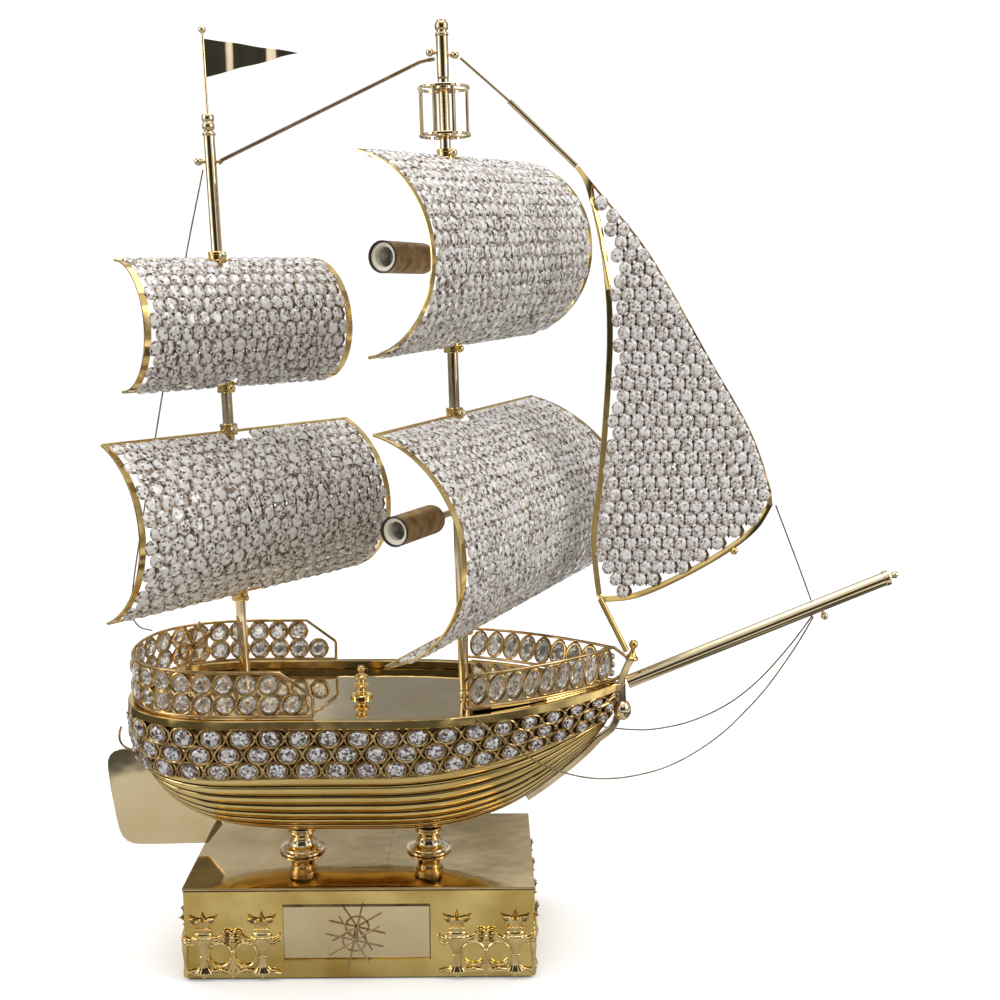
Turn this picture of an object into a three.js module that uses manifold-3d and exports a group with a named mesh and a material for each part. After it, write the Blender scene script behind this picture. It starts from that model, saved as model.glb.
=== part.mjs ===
// A sailing-ship table lamp: a polished brass plinth carries a ribbed brass hull on two turned pedestals.
// Wire-ringed crystals form the hull band and the deck rails, and strung crystals fill the brass-framed
// sails, which shade the lampholders on the main mast. Millimetres, +X towards the bow, +Z up, with the
// origin at the middle of the plinth's underside.
import * as THREE from "three";
import { mergeVertices } from "three/addons/utils/BufferGeometryUtils.js";
import Module from "manifold-3d";

const wasm = await Module();
wasm.setup();

// ---- driving dimensions ----
const GAP = 0.3; // clearance between pieces that touch
const BASE = { length: 320, width: 157, pad: 1.5, bottom: 1.8, top: 88.7, wall: 2, plate: 2, lip: 1 };
const WINDOW = { x: -2.3, width: 135, low: 19.5, high: 74.5, recess: 1.5 };
const PEDESTALS = { aft: -62, fore: 61 };
const PEDESTAL_HEIGHT = 24.4;
const TIE_ROD = { radius: 5, bore: 5.6, low: 70, high: 131 };
const HULL = { stern: -214, bow: 240, halfBeam: 87, sternCurve: -100, bowCurve: 30, wall: 2.5 };
const DECK = { main: 246.5, fore: 259.3, step: 103, plate: 2 };
const BAND = { stand: 2, thickness: 2.6, drop: 9 };
const RAIL_RADIUS = 1.5;
const MAST_RADIUS = 4.5;
const MIZZEN = { x: -112, z: 274.5, lean: -0.02843, foot: 247.4, tube: 767, top: 785 };
const MAIN = { x: 96, z: 254, lean: -0.02783, foot: 247.4, tube: 838, top: 860 };
const BOWSPRIT = { x: 257.5, z: 261.5, rise: 22.6, length: 260.5, radius: 6.5 };
const COLLAR = { bore: 5, radius: 8, height: 10 };
const STRIP = { width: 6, thickness: 1.5 };
const CRYSTAL_THICKNESS = 6;
const LAMP = { turn: 63, near: 43.5, far: 114.5, sleeve: 13.2, insert: 12, socket: 8.2, arm: 3 };
const WIRE_RADIUS = 0.75;

// Each square sail is part of a cylinder that lies along its yard. yaw is the yard's angle from the
// ship's length, belly is how far the sail bulges forward of the mast, and shift moves it along the yard.
const SAILS = {
  mizzen_topsail: {
    mast: MIZZEN, yaw: 39.3, top: 655, bottom: 543.4, belly: 53.2,
    topLength: 200, bottomLength: 205, topShift: 3.8, bottomShift: 3.8, tilt: 1.7,
  },
  mizzen_course: {
    mast: MIZZEN, yaw: 50.1, top: 500.6, bottom: 349, belly: 51.1,
    topLength: 283, bottomLength: 301, topShift: 8.1, bottomShift: 8.1, tilt: 0,
  },
  main_topsail: {
    mast: MAIN, yaw: 58.6, top: 744, bottom: 579.4, belly: 67.6,
    topLength: 285, bottomLength: 276, topShift: 10.7, bottomShift: 10.7, tilt: 6.7,
  },
  main_course: {
    mast: MAIN, yaw: 60.4, top: 515, bottom: 315.6, belly: 81.1,
    topLength: 287, bottomLength: 403, topShift: 12, bottomShift: 71.6, tilt: 5.5,
  },
};
const INLET = { x: 40, z: 24, hole: 5, flange: 7, cord: 3.2 };
const HELM = { x: -160, z: 297, turn: -37, ring: 16, reach: 24 };
const PENNANT = { top: 851, rod: 1.2, bore: 1.5, depth: 16 };
const LAMP_HEIGHTS = { upper: 655, lower: 426.5 };

// ---- materials ----
const brass = new THREE.MeshStandardMaterial({ color: 0xc9a35a, roughness: 0.2, metalness: 1 });
const darkBrass = new THREE.MeshStandardMaterial({ color: 0x8f6f3c, roughness: 0.45, metalness: 1 });
const mirror = new THREE.MeshStandardMaterial({ color: 0xb9a987, roughness: 0.06, metalness: 1 });
const crystal = new THREE.MeshStandardMaterial({ color: 0xe9e6e2, roughness: 0.05, metalness: 0 });
const ceramic = new THREE.MeshStandardMaterial({ color: 0xe6e0d0, roughness: 0.5, metalness: 0 });
const black = new THREE.MeshStandardMaterial({ color: 0x1c1b1a, roughness: 0.6, metalness: 0 });
const felt = new THREE.MeshStandardMaterial({ color: 0x27302a, roughness: 1, metalness: 0 });
const steel = new THREE.MeshStandardMaterial({ color: 0x9a9890, roughness: 0.4, metalness: 1 });

const lamp = new THREE.Group();

function place(name, geometry, material) {
  const mesh = new THREE.Mesh(geometry, material);
  mesh.name = name;
  lamp.add(mesh);
}

// ---- solids ----
function solid(geometry) {
  const bare = new THREE.BufferGeometry();
  bare.setAttribute("position", geometry.getAttribute("position").clone());
  if (geometry.index) bare.setIndex(geometry.index.clone());
  const merged = mergeVertices(bare, 1e-3);
  const mesh = new wasm.Mesh({
    numProp: 3,
    vertProperties: new Float32Array(merged.attributes.position.array),
    triVerts: new Uint32Array(merged.index.array),
  });
  return new wasm.Manifold(mesh);
}

function geometryOf(manifold) {
  const mesh = manifold.getMesh();
  const geometry = new THREE.BufferGeometry();
  const positions = new Float32Array(mesh.numVert * 3);
  for (let i = 0; i < mesh.numVert; i++) {
    positions.set(mesh.vertProperties.subarray(i * mesh.numProp, i * mesh.numProp + 3), i * 3);
  }
  geometry.setAttribute("position", new THREE.BufferAttribute(positions, 3));
  geometry.setIndex(new THREE.BufferAttribute(mesh.triVerts, 1));
  geometry.computeVertexNormals();
  return geometry;
}

function join(...geometries) {
  const solids = geometries.map(solid);
  return geometryOf(solids.reduce((sum, next) => sum.add(next)));
}

function cut(geometry, ...tools) {
  return geometryOf(tools.map(solid).reduce((left, tool) => left.subtract(tool), solid(geometry)));
}

function box(low, high) {
  const size = high.map((value, axis) => value - low[axis]);
  const geometry = new THREE.BoxGeometry(size[0], size[1], size[2]);
  return geometry.translate(low[0] + size[0] / 2, low[1] + size[1] / 2, low[2] + size[2] / 2);
}

// A cylinder or cone from a to b.
function rod(a, b, radius, sides = 10, endRadius = radius) {
  const from = new THREE.Vector3(...a);
  const along = new THREE.Vector3(...b).sub(from);
  const geometry = new THREE.CylinderGeometry(endRadius, radius, along.length(), sides);
  geometry.translate(0, along.length() / 2, 0);
  const turn = new THREE.Quaternion().setFromUnitVectors(new THREE.Vector3(0, 1, 0), along.normalize());
  return geometry.applyQuaternion(turn).translate(from.x, from.y, from.z);
}

function ball(centre, radius, sides = 10) {
  return new THREE.SphereGeometry(radius, sides, Math.max(4, sides / 2)).translate(...centre);
}

// A turned piece: profile lists [radius, distance] from its start at a, along the direction from a to b.
function turned(profile, a, b, sides = 20) {
  const points = profile.map(([radius, distance]) => new THREE.Vector2(radius, distance));
  const geometry = new THREE.LatheGeometry(points, sides);
  const along = new THREE.Vector3(...b).sub(new THREE.Vector3(...a)).normalize();
  const turn = new THREE.Quaternion().setFromUnitVectors(new THREE.Vector3(0, 1, 0), along);
  return geometry.applyQuaternion(turn).translate(...a);
}

function circle(radius, sides) {
  const points = [];
  for (let i = 0; i < sides; i++) {
    const angle = (2 * Math.PI * i) / sides;
    points.push(new THREE.Vector2(radius * Math.cos(angle), radius * Math.sin(angle)));
  }
  return new THREE.Shape(points);
}

function tube(points, radius, steps, sides = 8) {
  const through = points.map((point) => new THREE.Vector3(...point));
  const path = new THREE.CatmullRomCurve3(through, false, "centripetal");
  const settings = { extrudePath: path, steps, bevelEnabled: false };
  return new THREE.ExtrudeGeometry(circle(radius, sides), settings);
}

// A flat plate from its outline [x, z], standing in the ship's length plane.
function uprightPlate(outline, thickness, hole = null) {
  const shape = new THREE.Shape(outline.map(([x, z]) => new THREE.Vector2(x, z)));
  if (hole) shape.holes.push(new THREE.Path(hole.map(([x, z]) => new THREE.Vector2(x, z))));
  const geometry = new THREE.ExtrudeGeometry(shape, { depth: thickness, bevelEnabled: false });
  return geometry.translate(0, 0, -thickness / 2).rotateX(Math.PI / 2);
}

// A closed sheet between the offsets low and high of a surface at(u, v, offset), with u and v in 0 to 1.
function sheet(at, uSteps, vSteps, low, high) {
  const positions = [];
  const columns = uSteps + 1;
  const rows = vSteps + 1;
  for (const offset of [low, high]) {
    for (let i = 0; i < columns; i++) {
      for (let j = 0; j < rows; j++) positions.push(...at(i / uSteps, j / vSteps, offset));
    }
  }
  const id = (side, i, j) => side * columns * rows + i * rows + j;
  const triangles = [];
  const quad = (a, b, c, d) => triangles.push(a, b, c, a, c, d);
  for (let i = 0; i < uSteps; i++) {
    for (let j = 0; j < vSteps; j++) {
      quad(id(1, i, j), id(1, i + 1, j), id(1, i + 1, j + 1), id(1, i, j + 1));
      quad(id(0, i, j), id(0, i, j + 1), id(0, i + 1, j + 1), id(0, i + 1, j));
    }
  }
  for (let i = 0; i < uSteps; i++) {
    quad(id(0, i, 0), id(0, i + 1, 0), id(1, i + 1, 0), id(1, i, 0));
    quad(id(0, i, vSteps), id(1, i, vSteps), id(1, i + 1, vSteps), id(0, i + 1, vSteps));
  }
  for (let j = 0; j < vSteps; j++) {
    quad(id(0, 0, j), id(1, 0, j), id(1, 0, j + 1), id(0, 0, j + 1));
    quad(id(0, uSteps, j), id(0, uSteps, j + 1), id(1, uSteps, j + 1), id(1, uSteps, j));
  }
  return facingOut(positions, triangles);
}

// Turns the faces round where they point inwards.
function facingOut(positions, triangles) {
  let volume = 0;
  const corner = (index) => new THREE.Vector3().fromArray(positions, index * 3);
  for (let i = 0; i < triangles.length; i += 3) {
    const [a, b, c] = [corner(triangles[i]), corner(triangles[i + 1]), corner(triangles[i + 2])];
    volume += a.dot(b.cross(c));
  }
  if (volume < 0) triangles.reverse();
  const geometry = new THREE.BufferGeometry();
  geometry.setAttribute("position", new THREE.Float32BufferAttribute(positions, 3));
  geometry.setIndex(triangles);
  return geometry;
}

const lerp = THREE.MathUtils.lerp;
const degrees = THREE.MathUtils.degToRad;

// ---- hull lines ----
function halfBeam(x) {
  if (x < HULL.sternCurve) {
    const part = Math.min(1, (HULL.sternCurve - x) / (HULL.sternCurve - HULL.stern));
    return HULL.halfBeam * Math.pow(Math.max(0, 1 - Math.pow(part, 2.6)), 1 / 2.3);
  }
  if (x > HULL.bowCurve) {
    const part = Math.min(1, (x - HULL.bowCurve) / (HULL.bow - HULL.bowCurve));
    return HULL.halfBeam * (1 - Math.pow(part, 2.1));
  }
  return HULL.halfBeam;
}

function gunwale(x) {
  return 255 + 4 * Math.pow(Math.max(0, x - 50) / 190, 2);
}

const KEEL_LINE = new THREE.SplineCurve(
  [
    [-214, 203], [-203, 178], [-178, 148], [-140, 127], [-80, 117], [-20, 115.8], [40, 116], [75, 118.5],
    [108, 126], [145, 141], [182, 167], [217, 199], [232, 220], [240, 242],
  ].map(([x, z]) => new THREE.Vector2(x, z)),
).getSpacedPoints(160);

function keel(x) {
  const next = KEEL_LINE.findIndex((point) => point.x >= x);
  if (next === 0) return KEEL_LINE[0].y;
  if (next < 0) return KEEL_LINE[KEEL_LINE.length - 1].y;
  const [a, b] = [KEEL_LINE[next - 1], KEEL_LINE[next]];
  return lerp(a.y, b.y, (x - a.x) / (b.x - a.x));
}

// How much of the half-beam is left at height z.
function fullness(x, z) {
  const depth = (gunwale(x) - z) / (gunwale(x) - keel(x));
  return Math.pow(Math.max(0, 1 - Math.pow(THREE.MathUtils.clamp(depth, 0, 1), 2.6)), 1 / 1.7);
}

// A point of the plan outline, moved out by offset. Angle 0 is the bow, pi the stern, port comes first.
// With a height, the outline is the hull side's at that height.
function outline(angle, offset = 0, z = null) {
  const middle = (HULL.bow + HULL.stern) / 2;
  const reach = (HULL.bow - HULL.stern) / 2;
  const at = (a) => {
    const x = middle + reach * Math.cos(a);
    return [x, Math.sign(Math.sin(a)) * halfBeam(x) * (z === null ? 1 : fullness(x, z))];
  };
  const [x, y] = at(angle);
  const [xa, ya] = at(angle - 0.01);
  const [xb, yb] = at(angle + 0.01);
  const length = Math.hypot(xb - xa, yb - ya);
  return [x + (offset * (yb - ya)) / length, y - (offset * (xb - xa)) / length];
}

// The angle at which the plan outline passes x on the port side.
function outlineAngle(x) {
  const middle = (HULL.bow + HULL.stern) / 2;
  return Math.acos((x - middle) / ((HULL.bow - HULL.stern) / 2));
}

// A body of stations, each a closed ring of points, joined one to the next. An end ring is closed flat
// unless all its points lie in the ship's middle plane.
function loft(rings) {
  const across = rings[0].length;
  const positions = rings.flat(2);
  const triangles = [];
  for (let i = 0; i + 1 < rings.length; i++) {
    for (let j = 0; j < across; j++) {
      const [a, b] = [i * across + j, i * across + ((j + 1) % across)];
      triangles.push(a, a + across, b + across, a, b + across, b);
    }
  }
  const flat = (ring) => ring.every((point) => Math.abs(point[1]) < 1e-6);
  const last = (rings.length - 1) * across;
  for (let j = 1; j + 1 < across; j++) {
    if (!flat(rings[0])) triangles.push(0, j, j + 1);
    if (!flat(rings[rings.length - 1])) triangles.push(last, last + j + 1, last + j);
  }
  return facingOut(positions, triangles);
}

// The solid inside the hull's skin, shrunk by inset and closed by a deck at the height top(x).
function hullBody(inset, top) {
  const stations = 22;
  const levels = 6;
  const reach = HULL.bow - HULL.stern - 2 * inset;
  const rings = [];
  for (let i = 0; i <= stations; i++) {
    const x = HULL.stern + inset + (reach * (1 - Math.cos((Math.PI * i) / stations))) / 2;
    const beam = i === 0 || i === stations ? 0 : Math.max(0, halfBeam(x) - inset);
    const low = keel(x) + inset;
    const ring = [];
    for (let j = -levels; j <= levels; j++) {
      const z = lerp(low, top(x), Math.pow(Math.abs(j) / levels, 1.5));
      ring.push([x, Math.sign(j) * beam * fullness(x, z - inset * 0.4), z]);
    }
    rings.push(ring);
  }
  return loft(rings);
}

// A slab of the plan outline's shape between two heights, from one outline angle to another.
function planBody(offset, low, high, fromAngle = 0, toAngle = Math.PI, stations = 24) {
  const rings = [];
  for (let i = 0; i <= stations; i++) {
    const angle = lerp(fromAngle, toAngle, i / stations);
    const [x, y] = outline(angle, offset);
    const end = angle < 1e-6 || angle > Math.PI - 1e-6;
    const beam = end ? 0 : Math.max(0.2, y);
    rings.push([[x, -beam, low(x)], [x, beam, low(x)], [x, beam, high(x)], [x, -beam, high(x)]]);
  }
  return loft(rings);
}

// ---- base ----
function makeBase() {
  const half = [BASE.length / 2, BASE.width / 2];
  place("felt_pad", box([2 - half[0], 2 - half[1], 0], [half[0] - 2, half[1] - 2, BASE.pad]), felt);

  const inner = half.map((value) => value - BASE.wall);
  const walls = box([-half[0], -half[1], BASE.bottom], [half[0], half[1], BASE.top]);
  const inside = box([-inner[0], -inner[1], 0], [inner[0], inner[1], BASE.top + 1]);
  const sides = [WINDOW.x - WINDOW.width / 2, WINDOW.x + WINDOW.width / 2];
  const window = box([sides[0], -half[1] - 1, WINDOW.low], [sides[1], 1 - inner[1], WINDOW.high]);
  const cordHole = rod([INLET.x, inner[1] - 1, INLET.z], [INLET.x, half[1] + 1, INLET.z], INLET.hole, 12);
  place("base_box", cut(walls, inside, window, cordHole), brass);

  const [plateX, plateY] = inner.map((value) => value - GAP);
  const plateTop = BASE.bottom + BASE.plate;
  place("bottom_plate", box([-plateX, -plateY, BASE.bottom], [plateX, plateY, plateTop]), steel);
  const back = WINDOW.recess + GAP - inner[1];
  const panel = box([sides[0] - 7, GAP - inner[1], WINDOW.low - 7], [sides[1] + 7, back, WINDOW.high + 7]);
  place("front_panel", panel, mirror);
  const block = box([-22, 10, plateTop + GAP], [22, 26, plateTop + 14]);
  place("terminal_block", block, ceramic);

  const rim = half.map((value) => value + BASE.lip);
  const low = BASE.top + GAP;
  const top = box([-rim[0], -rim[1], low], [rim[0], rim[1], low + BASE.plate]);
  const bore = (x) => rod([x, 0, low - 1], [x, 0, low + 5], TIE_ROD.bore, 16);
  place("base_top_plate", cut(top, ...Object.values(PEDESTALS).map(bore)), mirror);

  const [flange, neck, hole] = [INLET.flange, INLET.hole - GAP, INLET.cord];
  const [outside, through] = [2, BASE.wall + 2 * GAP];
  const grommet = [
    [hole, 0], [flange, 0], [flange, outside], [neck, outside], [neck, outside + through],
    [flange, outside + through], [flange, outside * 2 + through], [hole, outside * 2 + through], [hole, 0],
  ];
  const start = [INLET.x, half[1] + GAP + outside, INLET.z];
  place("cord_grommet", turned(grommet, start, [INLET.x, 0, INLET.z], 10), black);
}

function makeEmblemWheel() {
  const [x, z] = [WINDOW.x - 1.2, 44.5];
  const front = -BASE.width / 2 - 9.5;
  const ring = new THREE.TorusGeometry(10.6, 0.9, 4, 16).rotateX(Math.PI / 2).translate(x, front, z);
  const pieces = [ring, rod([x, front - 1.5, z], [x, BASE.wall - BASE.width / 2, z], 2.2, 8)];
  for (let i = 0; i < 4; i++) {
    const angle = degrees(77 - 45.5 * i);
    const [dx, dz] = [27 * Math.cos(angle), 27 * Math.sin(angle)];
    pieces.push(rod([x - dx, front, z - dz], [x + dx, front, z + dz], 0.9, 4));
  }
  place("emblem_wheel", join(...pieces), brass);
}

// One leg of a corner casting, drawn flat: distance from the corner and height. Two crowned vases stand
// on a pierced frieze.
function castingLeg(length, thickness) {
  const [low, high, start] = [5, 40, -thickness - GAP];
  const crown = [[5, high], [4.5, 52], [8.5, 63], [0, 67], [-8.5, 63], [-4.5, 52], [-5, high]];
  const vase = (middle) => crown.map(([x, z]) => new THREE.Vector2(middle + x, z));
  const corner = (x, z) => new THREE.Vector2(x, z);
  const shape = new THREE.Shape([
    corner(start, low), corner(length, low), corner(length, high),
    ...vase(0.8 * length), ...vase(0.19 * length), corner(start, high),
  ]);
  shape.holes.push(new THREE.Path().absarc(0.5 * length, 22, 9.5, 0, 2 * Math.PI, true));
  return new THREE.ExtrudeGeometry(shape, { depth: thickness, bevelEnabled: false, curveSegments: 5 });
}

function makeCastings() {
  const thickness = 3;
  for (const [xName, xSide] of [["stern", -1], ["bow", 1]]) {
    for (const [yName, ySide] of [["port", 1], ["starboard", -1]]) {
      const front = castingLeg(88, thickness).rotateX(Math.PI / 2);
      front.scale(-xSide, -ySide, 1);
      front.translate((xSide * BASE.length) / 2, ySide * (BASE.width / 2 + GAP), 0);
      const side = castingLeg(70, thickness).rotateX(Math.PI / 2).rotateZ(Math.PI / 2);
      side.scale(xSide, -ySide, 1);
      side.translate(xSide * (BASE.length / 2 + GAP), (ySide * BASE.width) / 2, 0);
      const legs = [mirrored(front, xSide * ySide), mirrored(side, -xSide * ySide)];
      place(`corner_casting_${xName}_${yName}`, join(...legs), brass);
    }
  }
}

// Turns a geometry's faces round where its scaling, of the given sign, has mirrored it.
function mirrored(geometry, sign) {
  if (sign > 0) return geometry;
  const bare = geometry.index ? geometry : mergeVertices(geometry);
  bare.setIndex(Array.from(bare.index.array).reverse());
  return bare;
}

function makePedestals() {
  const bottom = BASE.top + BASE.plate + 2 * GAP;
  const [bore, height] = [TIE_ROD.bore, PEDESTAL_HEIGHT];
  const profile = [
    [bore, 0], [22, 0], [22, 2.5], [16.5, 4.5], [12.2, 9], [11.3, 13], [12, 18], [14.2, 21],
    [13.8, height], [bore, height], [bore, 0],
  ];
  for (const [name, x] of Object.entries(PEDESTALS)) {
    place(`pedestal_${name}`, turned(profile, [x, 0, bottom], [x, 0, bottom + 1], 14), brass);
    const nut = (low) => rod([x, 0, low], [x, 0, low + 7], 9, 6);
    const shank = rod([x, 0, TIE_ROD.low], [x, 0, TIE_ROD.high], TIE_ROD.radius, 12);
    const washer = keel(x) + HULL.wall + 3.4;
    place(`tie_rod_${name}`, join(shank, nut(BASE.top - 7 - GAP), nut(washer)), steel);
  }
}

// ---- hull ----
function bandLow(x) {
  if (x > 20) return 200 + 24 * Math.pow((x - 20) / 205, 1.6);
  return 200 - 4 * Math.max(0, (-60 - x) / 160);
}

function makeHull() {
  const rim = (x) => gunwale(x) - 8 - GAP;
  const outer = hullBody(0, rim);
  const inner = hullBody(HULL.wall, (x) => rim(x) + 5);
  const bores = Object.values(PEDESTALS).map((x) => rod([x, 0, 110], [x, 0, 125], TIE_ROD.bore, 16));
  place("hull_shell", cut(outer, inner, ...bores), brass);

  const band = sheet(
    (u, v, offset) => {
      const angle = lerp(0.06, 2 * Math.PI - 0.06, u);
      const x = outline(angle)[0];
      const z = lerp(Math.max(bandLow(x), keel(x) + 4), gunwale(x) - BAND.drop, v);
      return [...outline(angle, offset, z), z];
    },
    46, 2, BAND.stand, BAND.stand + BAND.thickness,
  );
  place("hull_crystal_band", band, crystal);

  const gunwaleOuter = planBody(4.6, (x) => gunwale(x) - 8, gunwale);
  const gunwaleInner = planBody(-3.2, (x) => gunwale(x) - 9, (x) => gunwale(x) + 1);
  place("gunwale", cut(gunwaleOuter, gunwaleInner), brass);

  const step = outlineAngle(DECK.step);
  const deckLow = () => DECK.main - DECK.plate;
  place("main_deck", planBody(-3.8, deckLow, () => DECK.main, step, Math.PI, 16), mirror);
  const foreLow = () => DECK.fore - DECK.plate;
  const foreTop = planBody(-3.8, foreLow, () => DECK.fore, 0.2, step, 10);
  const beam = halfBeam(DECK.step) - 5;
  const riser = box([DECK.step, -beam, DECK.main + GAP], [DECK.step + DECK.plate, beam, DECK.fore - 1]);
  place("fore_deck", join(foreTop, riser), mirror);
}

const AFT_RAIL = { end: -36, shoulder: -65, post: 276, top: 297.5, low: 257 };
const FORE_RAIL = { end: 104, top: 291, bowRise: 2.5 };

function makeAftRail() {
  const shoulder = outlineAngle(AFT_RAIL.shoulder);
  const end = outlineAngle(AFT_RAIL.end);
  const at = (angle, z) => [...outline(angle, -1.5), z];
  const top = [at(end, AFT_RAIL.low), at(end, AFT_RAIL.post - 2), at(end + 0.004, AFT_RAIL.post)];
  const count = 16;
  for (let i = 0; i <= count; i++) {
    top.push(at(lerp(shoulder, 2 * Math.PI - shoulder, i / count), AFT_RAIL.top));
  }
  const last = 2 * Math.PI - end;
  top.push(at(last - 0.004, AFT_RAIL.post), at(last, AFT_RAIL.post - 2), at(last, AFT_RAIL.low));
  const low = [];
  for (let i = 0; i <= count; i++) low.push(at(lerp(end, last, i / count), AFT_RAIL.low));
  place("aft_rail", join(tube(top, RAIL_RADIUS, 40, 5), tube(low, RAIL_RADIUS, 24, 5)), brass);

  const slope = (AFT_RAIL.top - AFT_RAIL.post) / (AFT_RAIL.end - AFT_RAIL.shoulder);
  const crystals = sheet(
    (u, v, offset) => {
      const angle = lerp(end + 0.02, last - 0.02, u);
      const x = outline(angle)[0];
      const ceiling = Math.min(AFT_RAIL.top - 2, AFT_RAIL.post - 3.6 + slope * (AFT_RAIL.end - x));
      return [...outline(angle, offset), lerp(AFT_RAIL.low + 1.9, ceiling, v)];
    },
    34, 1, -3.2, 0.2,
  );
  place("aft_rail_crystals", crystals, crystal);
}

function makeForeRail() {
  const end = outlineAngle(FORE_RAIL.end);
  const tip = 0.16;
  const floor = (x) => Math.max(gunwale(x), DECK.fore) + 2;
  const reach = HULL.bow - FORE_RAIL.end;
  const ceiling = (x) => FORE_RAIL.top + (FORE_RAIL.bowRise * (x - FORE_RAIL.end)) / reach;
  const side = (height, sign, from) => {
    const points = [];
    const count = 7;
    for (let i = 0; i <= count; i++) {
      const angle = lerp(from, tip, i / count);
      const [x, y] = outline(angle, -1.5);
      points.push([x, sign * y, height(x)]);
    }
    return points;
  };
  const [x0, y0] = outline(end, -1.5);
  const loop = (height, posts) => {
    const port = side(height, 1, end - (posts ? 0.02 : 0));
    const starboard = side(height, -1, end - (posts ? 0.02 : 0)).reverse();
    const first = posts ? [[x0, y0, floor(x0)], [x0, y0, height(x0) - 5]] : [];
    const final = first.map(([x, y, z]) => [x, -y, z]).reverse();
    return [...first, ...port, [HULL.bow - 1.2, 0, height(HULL.bow)], ...starboard, ...final];
  };
  const topRail = tube(loop(ceiling, true), RAIL_RADIUS, 34, 5);
  const lowRail = tube(loop(floor, false), RAIL_RADIUS, 20, 5);
  place("fore_rail", join(topRail, lowRail), brass);

  const half = (sign) => sheet(
    (u, v, offset) => {
      const [x, y] = outline(lerp(end - 0.03, tip, u), offset);
      return [x, sign * y, lerp(floor(x) + 1.9, ceiling(x) - 1.9, v)];
    },
    8, 1, -3.2, 0.2,
  );
  const tipX = outline(tip, -1.5)[0];
  const post = rod([tipX, 0, floor(tipX) + 1.9], [tipX, 0, ceiling(tipX) - 1.9], 4.4, 8);
  place("fore_rail_crystals", join(half(1), half(-1), post), crystal);
}

function makeStem() {
  const thickness = 8;
  const stem = KEEL_LINE.filter((point) => point.x > 152);
  const offsetLine = (offset) => stem.map((point, i) => {
    const before = stem[Math.max(0, i - 1)];
    const after = stem[Math.min(stem.length - 1, i + 1)];
    const along = after.clone().sub(before).normalize();
    const distance = offset(point.y);
    return [point.x + along.y * distance, point.y - along.x * distance];
  }).filter((_, i) => i % 3 === 0 || i === stem.length - 1);
  const inside = (z) => (z < 205 ? 0.6 : lerp(0.6, 5.4, Math.min(1, (z - 205) / 12)));
  const inner = offsetLine(inside);
  const outer = offsetLine((z) => inside(z) + 6.5);
  const head = [[252.5, 262], [258.5, 281], [252, 281], [246, 262]];
  const plate = uprightPlate([...outer, ...head, ...inner.reverse()], thickness);
  const bulb = new THREE.SphereGeometry(9, 12, 8).scale(0.9, 1, 1.15).translate(247.5, 0, 232);
  place("stem_ornament", join(plate, bulb), brass);

  const bell = [
    [0, 0], [6.3, 0], [6.6, 1.6], [4.6, 4], [2.6, 8], [2.2, 11],
    [3.4, 12.2], [4.3, 15], [3.4, 18], [1.6, 19.2], [0, 19.5],
  ];
  place("bow_finial", turned(bell, [255.5, 0, 281.6], [257.5, 0, 300], 14), brass);
}

function makeRudder() {
  const outlinePoints = [[-246, 186], [-244, 191], [-238, 194], [-214.5, 194.5]];
  for (let x = -211; x <= -142; x += 11.5) outlinePoints.push([x, keel(x) - 2.2]);
  outlinePoints.push([-139, 118], [-154, 99], [-217, 98], [-226, 99.5], [-232, 104.5]);
  outlinePoints.push([-240, 124], [-244.5, 155]);
  place("rudder", uprightPlate(outlinePoints, 3), mirror);
}

function makeDeckFittings() {
  const deck = DECK.main + GAP;
  const capstan = [
    [0, 0], [11, 0], [11, 2.5], [5, 5], [4.2, 8], [8, 11], [4.4, 14], [4.2, 17], [6.8, 19],
    [2.2, 23], [3.9, 27], [2, 30], [0, 30.3],
  ];
  place("capstan", turned(capstan, [-1.7, 0, deck], [-1.7, 0, deck + 1], 12), brass);

  const [x, z] = [HELM.x, HELM.z];
  const turn = degrees(HELM.turn);
  const along = (distance) => [x + distance * Math.cos(turn), distance * Math.sin(turn), z];
  const height = z + 3 - deck;
  const post = [
    [0, 0], [9, 0], [9, 2], [3.2, 5], [2.4, 20], [3.4, 34], [2.6, 44], [3.4, height - 0.5], [0, height],
  ];
  const foot = along(-7);
  const stand = turned(post, [foot[0], foot[1], deck], [foot[0], foot[1], deck + 1], 12);
  place("helm_stand", join(stand, rod(along(-6), along(4.4), 1.2, 8), ball(along(5.4), 2.4, 8)), brass);

  const hub = [[1.7, 0], [4, 0], [4, 5], [1.7, 5], [1.7, 0]];
  const pieces = [turned(hub, along(-2.5), along(2.5), 8)];
  const ring = new THREE.TorusGeometry(HELM.ring, 1.2, 4, 16).rotateY(Math.PI / 2).rotateZ(turn);
  pieces.push(ring.translate(x, 0, z));
  for (let i = 0; i < 8; i++) {
    const angle = (Math.PI * (i + 0.5)) / 4;
    const spoke = (reach) => {
      const aside = reach * Math.cos(angle);
      return [x - aside * Math.sin(turn), aside * Math.cos(turn), z + reach * Math.sin(angle)];
    };
    pieces.push(rod(spoke(3.2), spoke(HELM.reach), 0.9, 3));
  }
  place("helm_wheel", join(...pieces), brass);
}

// ---- masts and rigging ----
function mastX(mast, z) {
  return mast.x + mast.lean * (z - mast.z);
}

function mastPoint(mast, z) {
  return [mastX(mast, z), 0, z];
}

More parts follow.
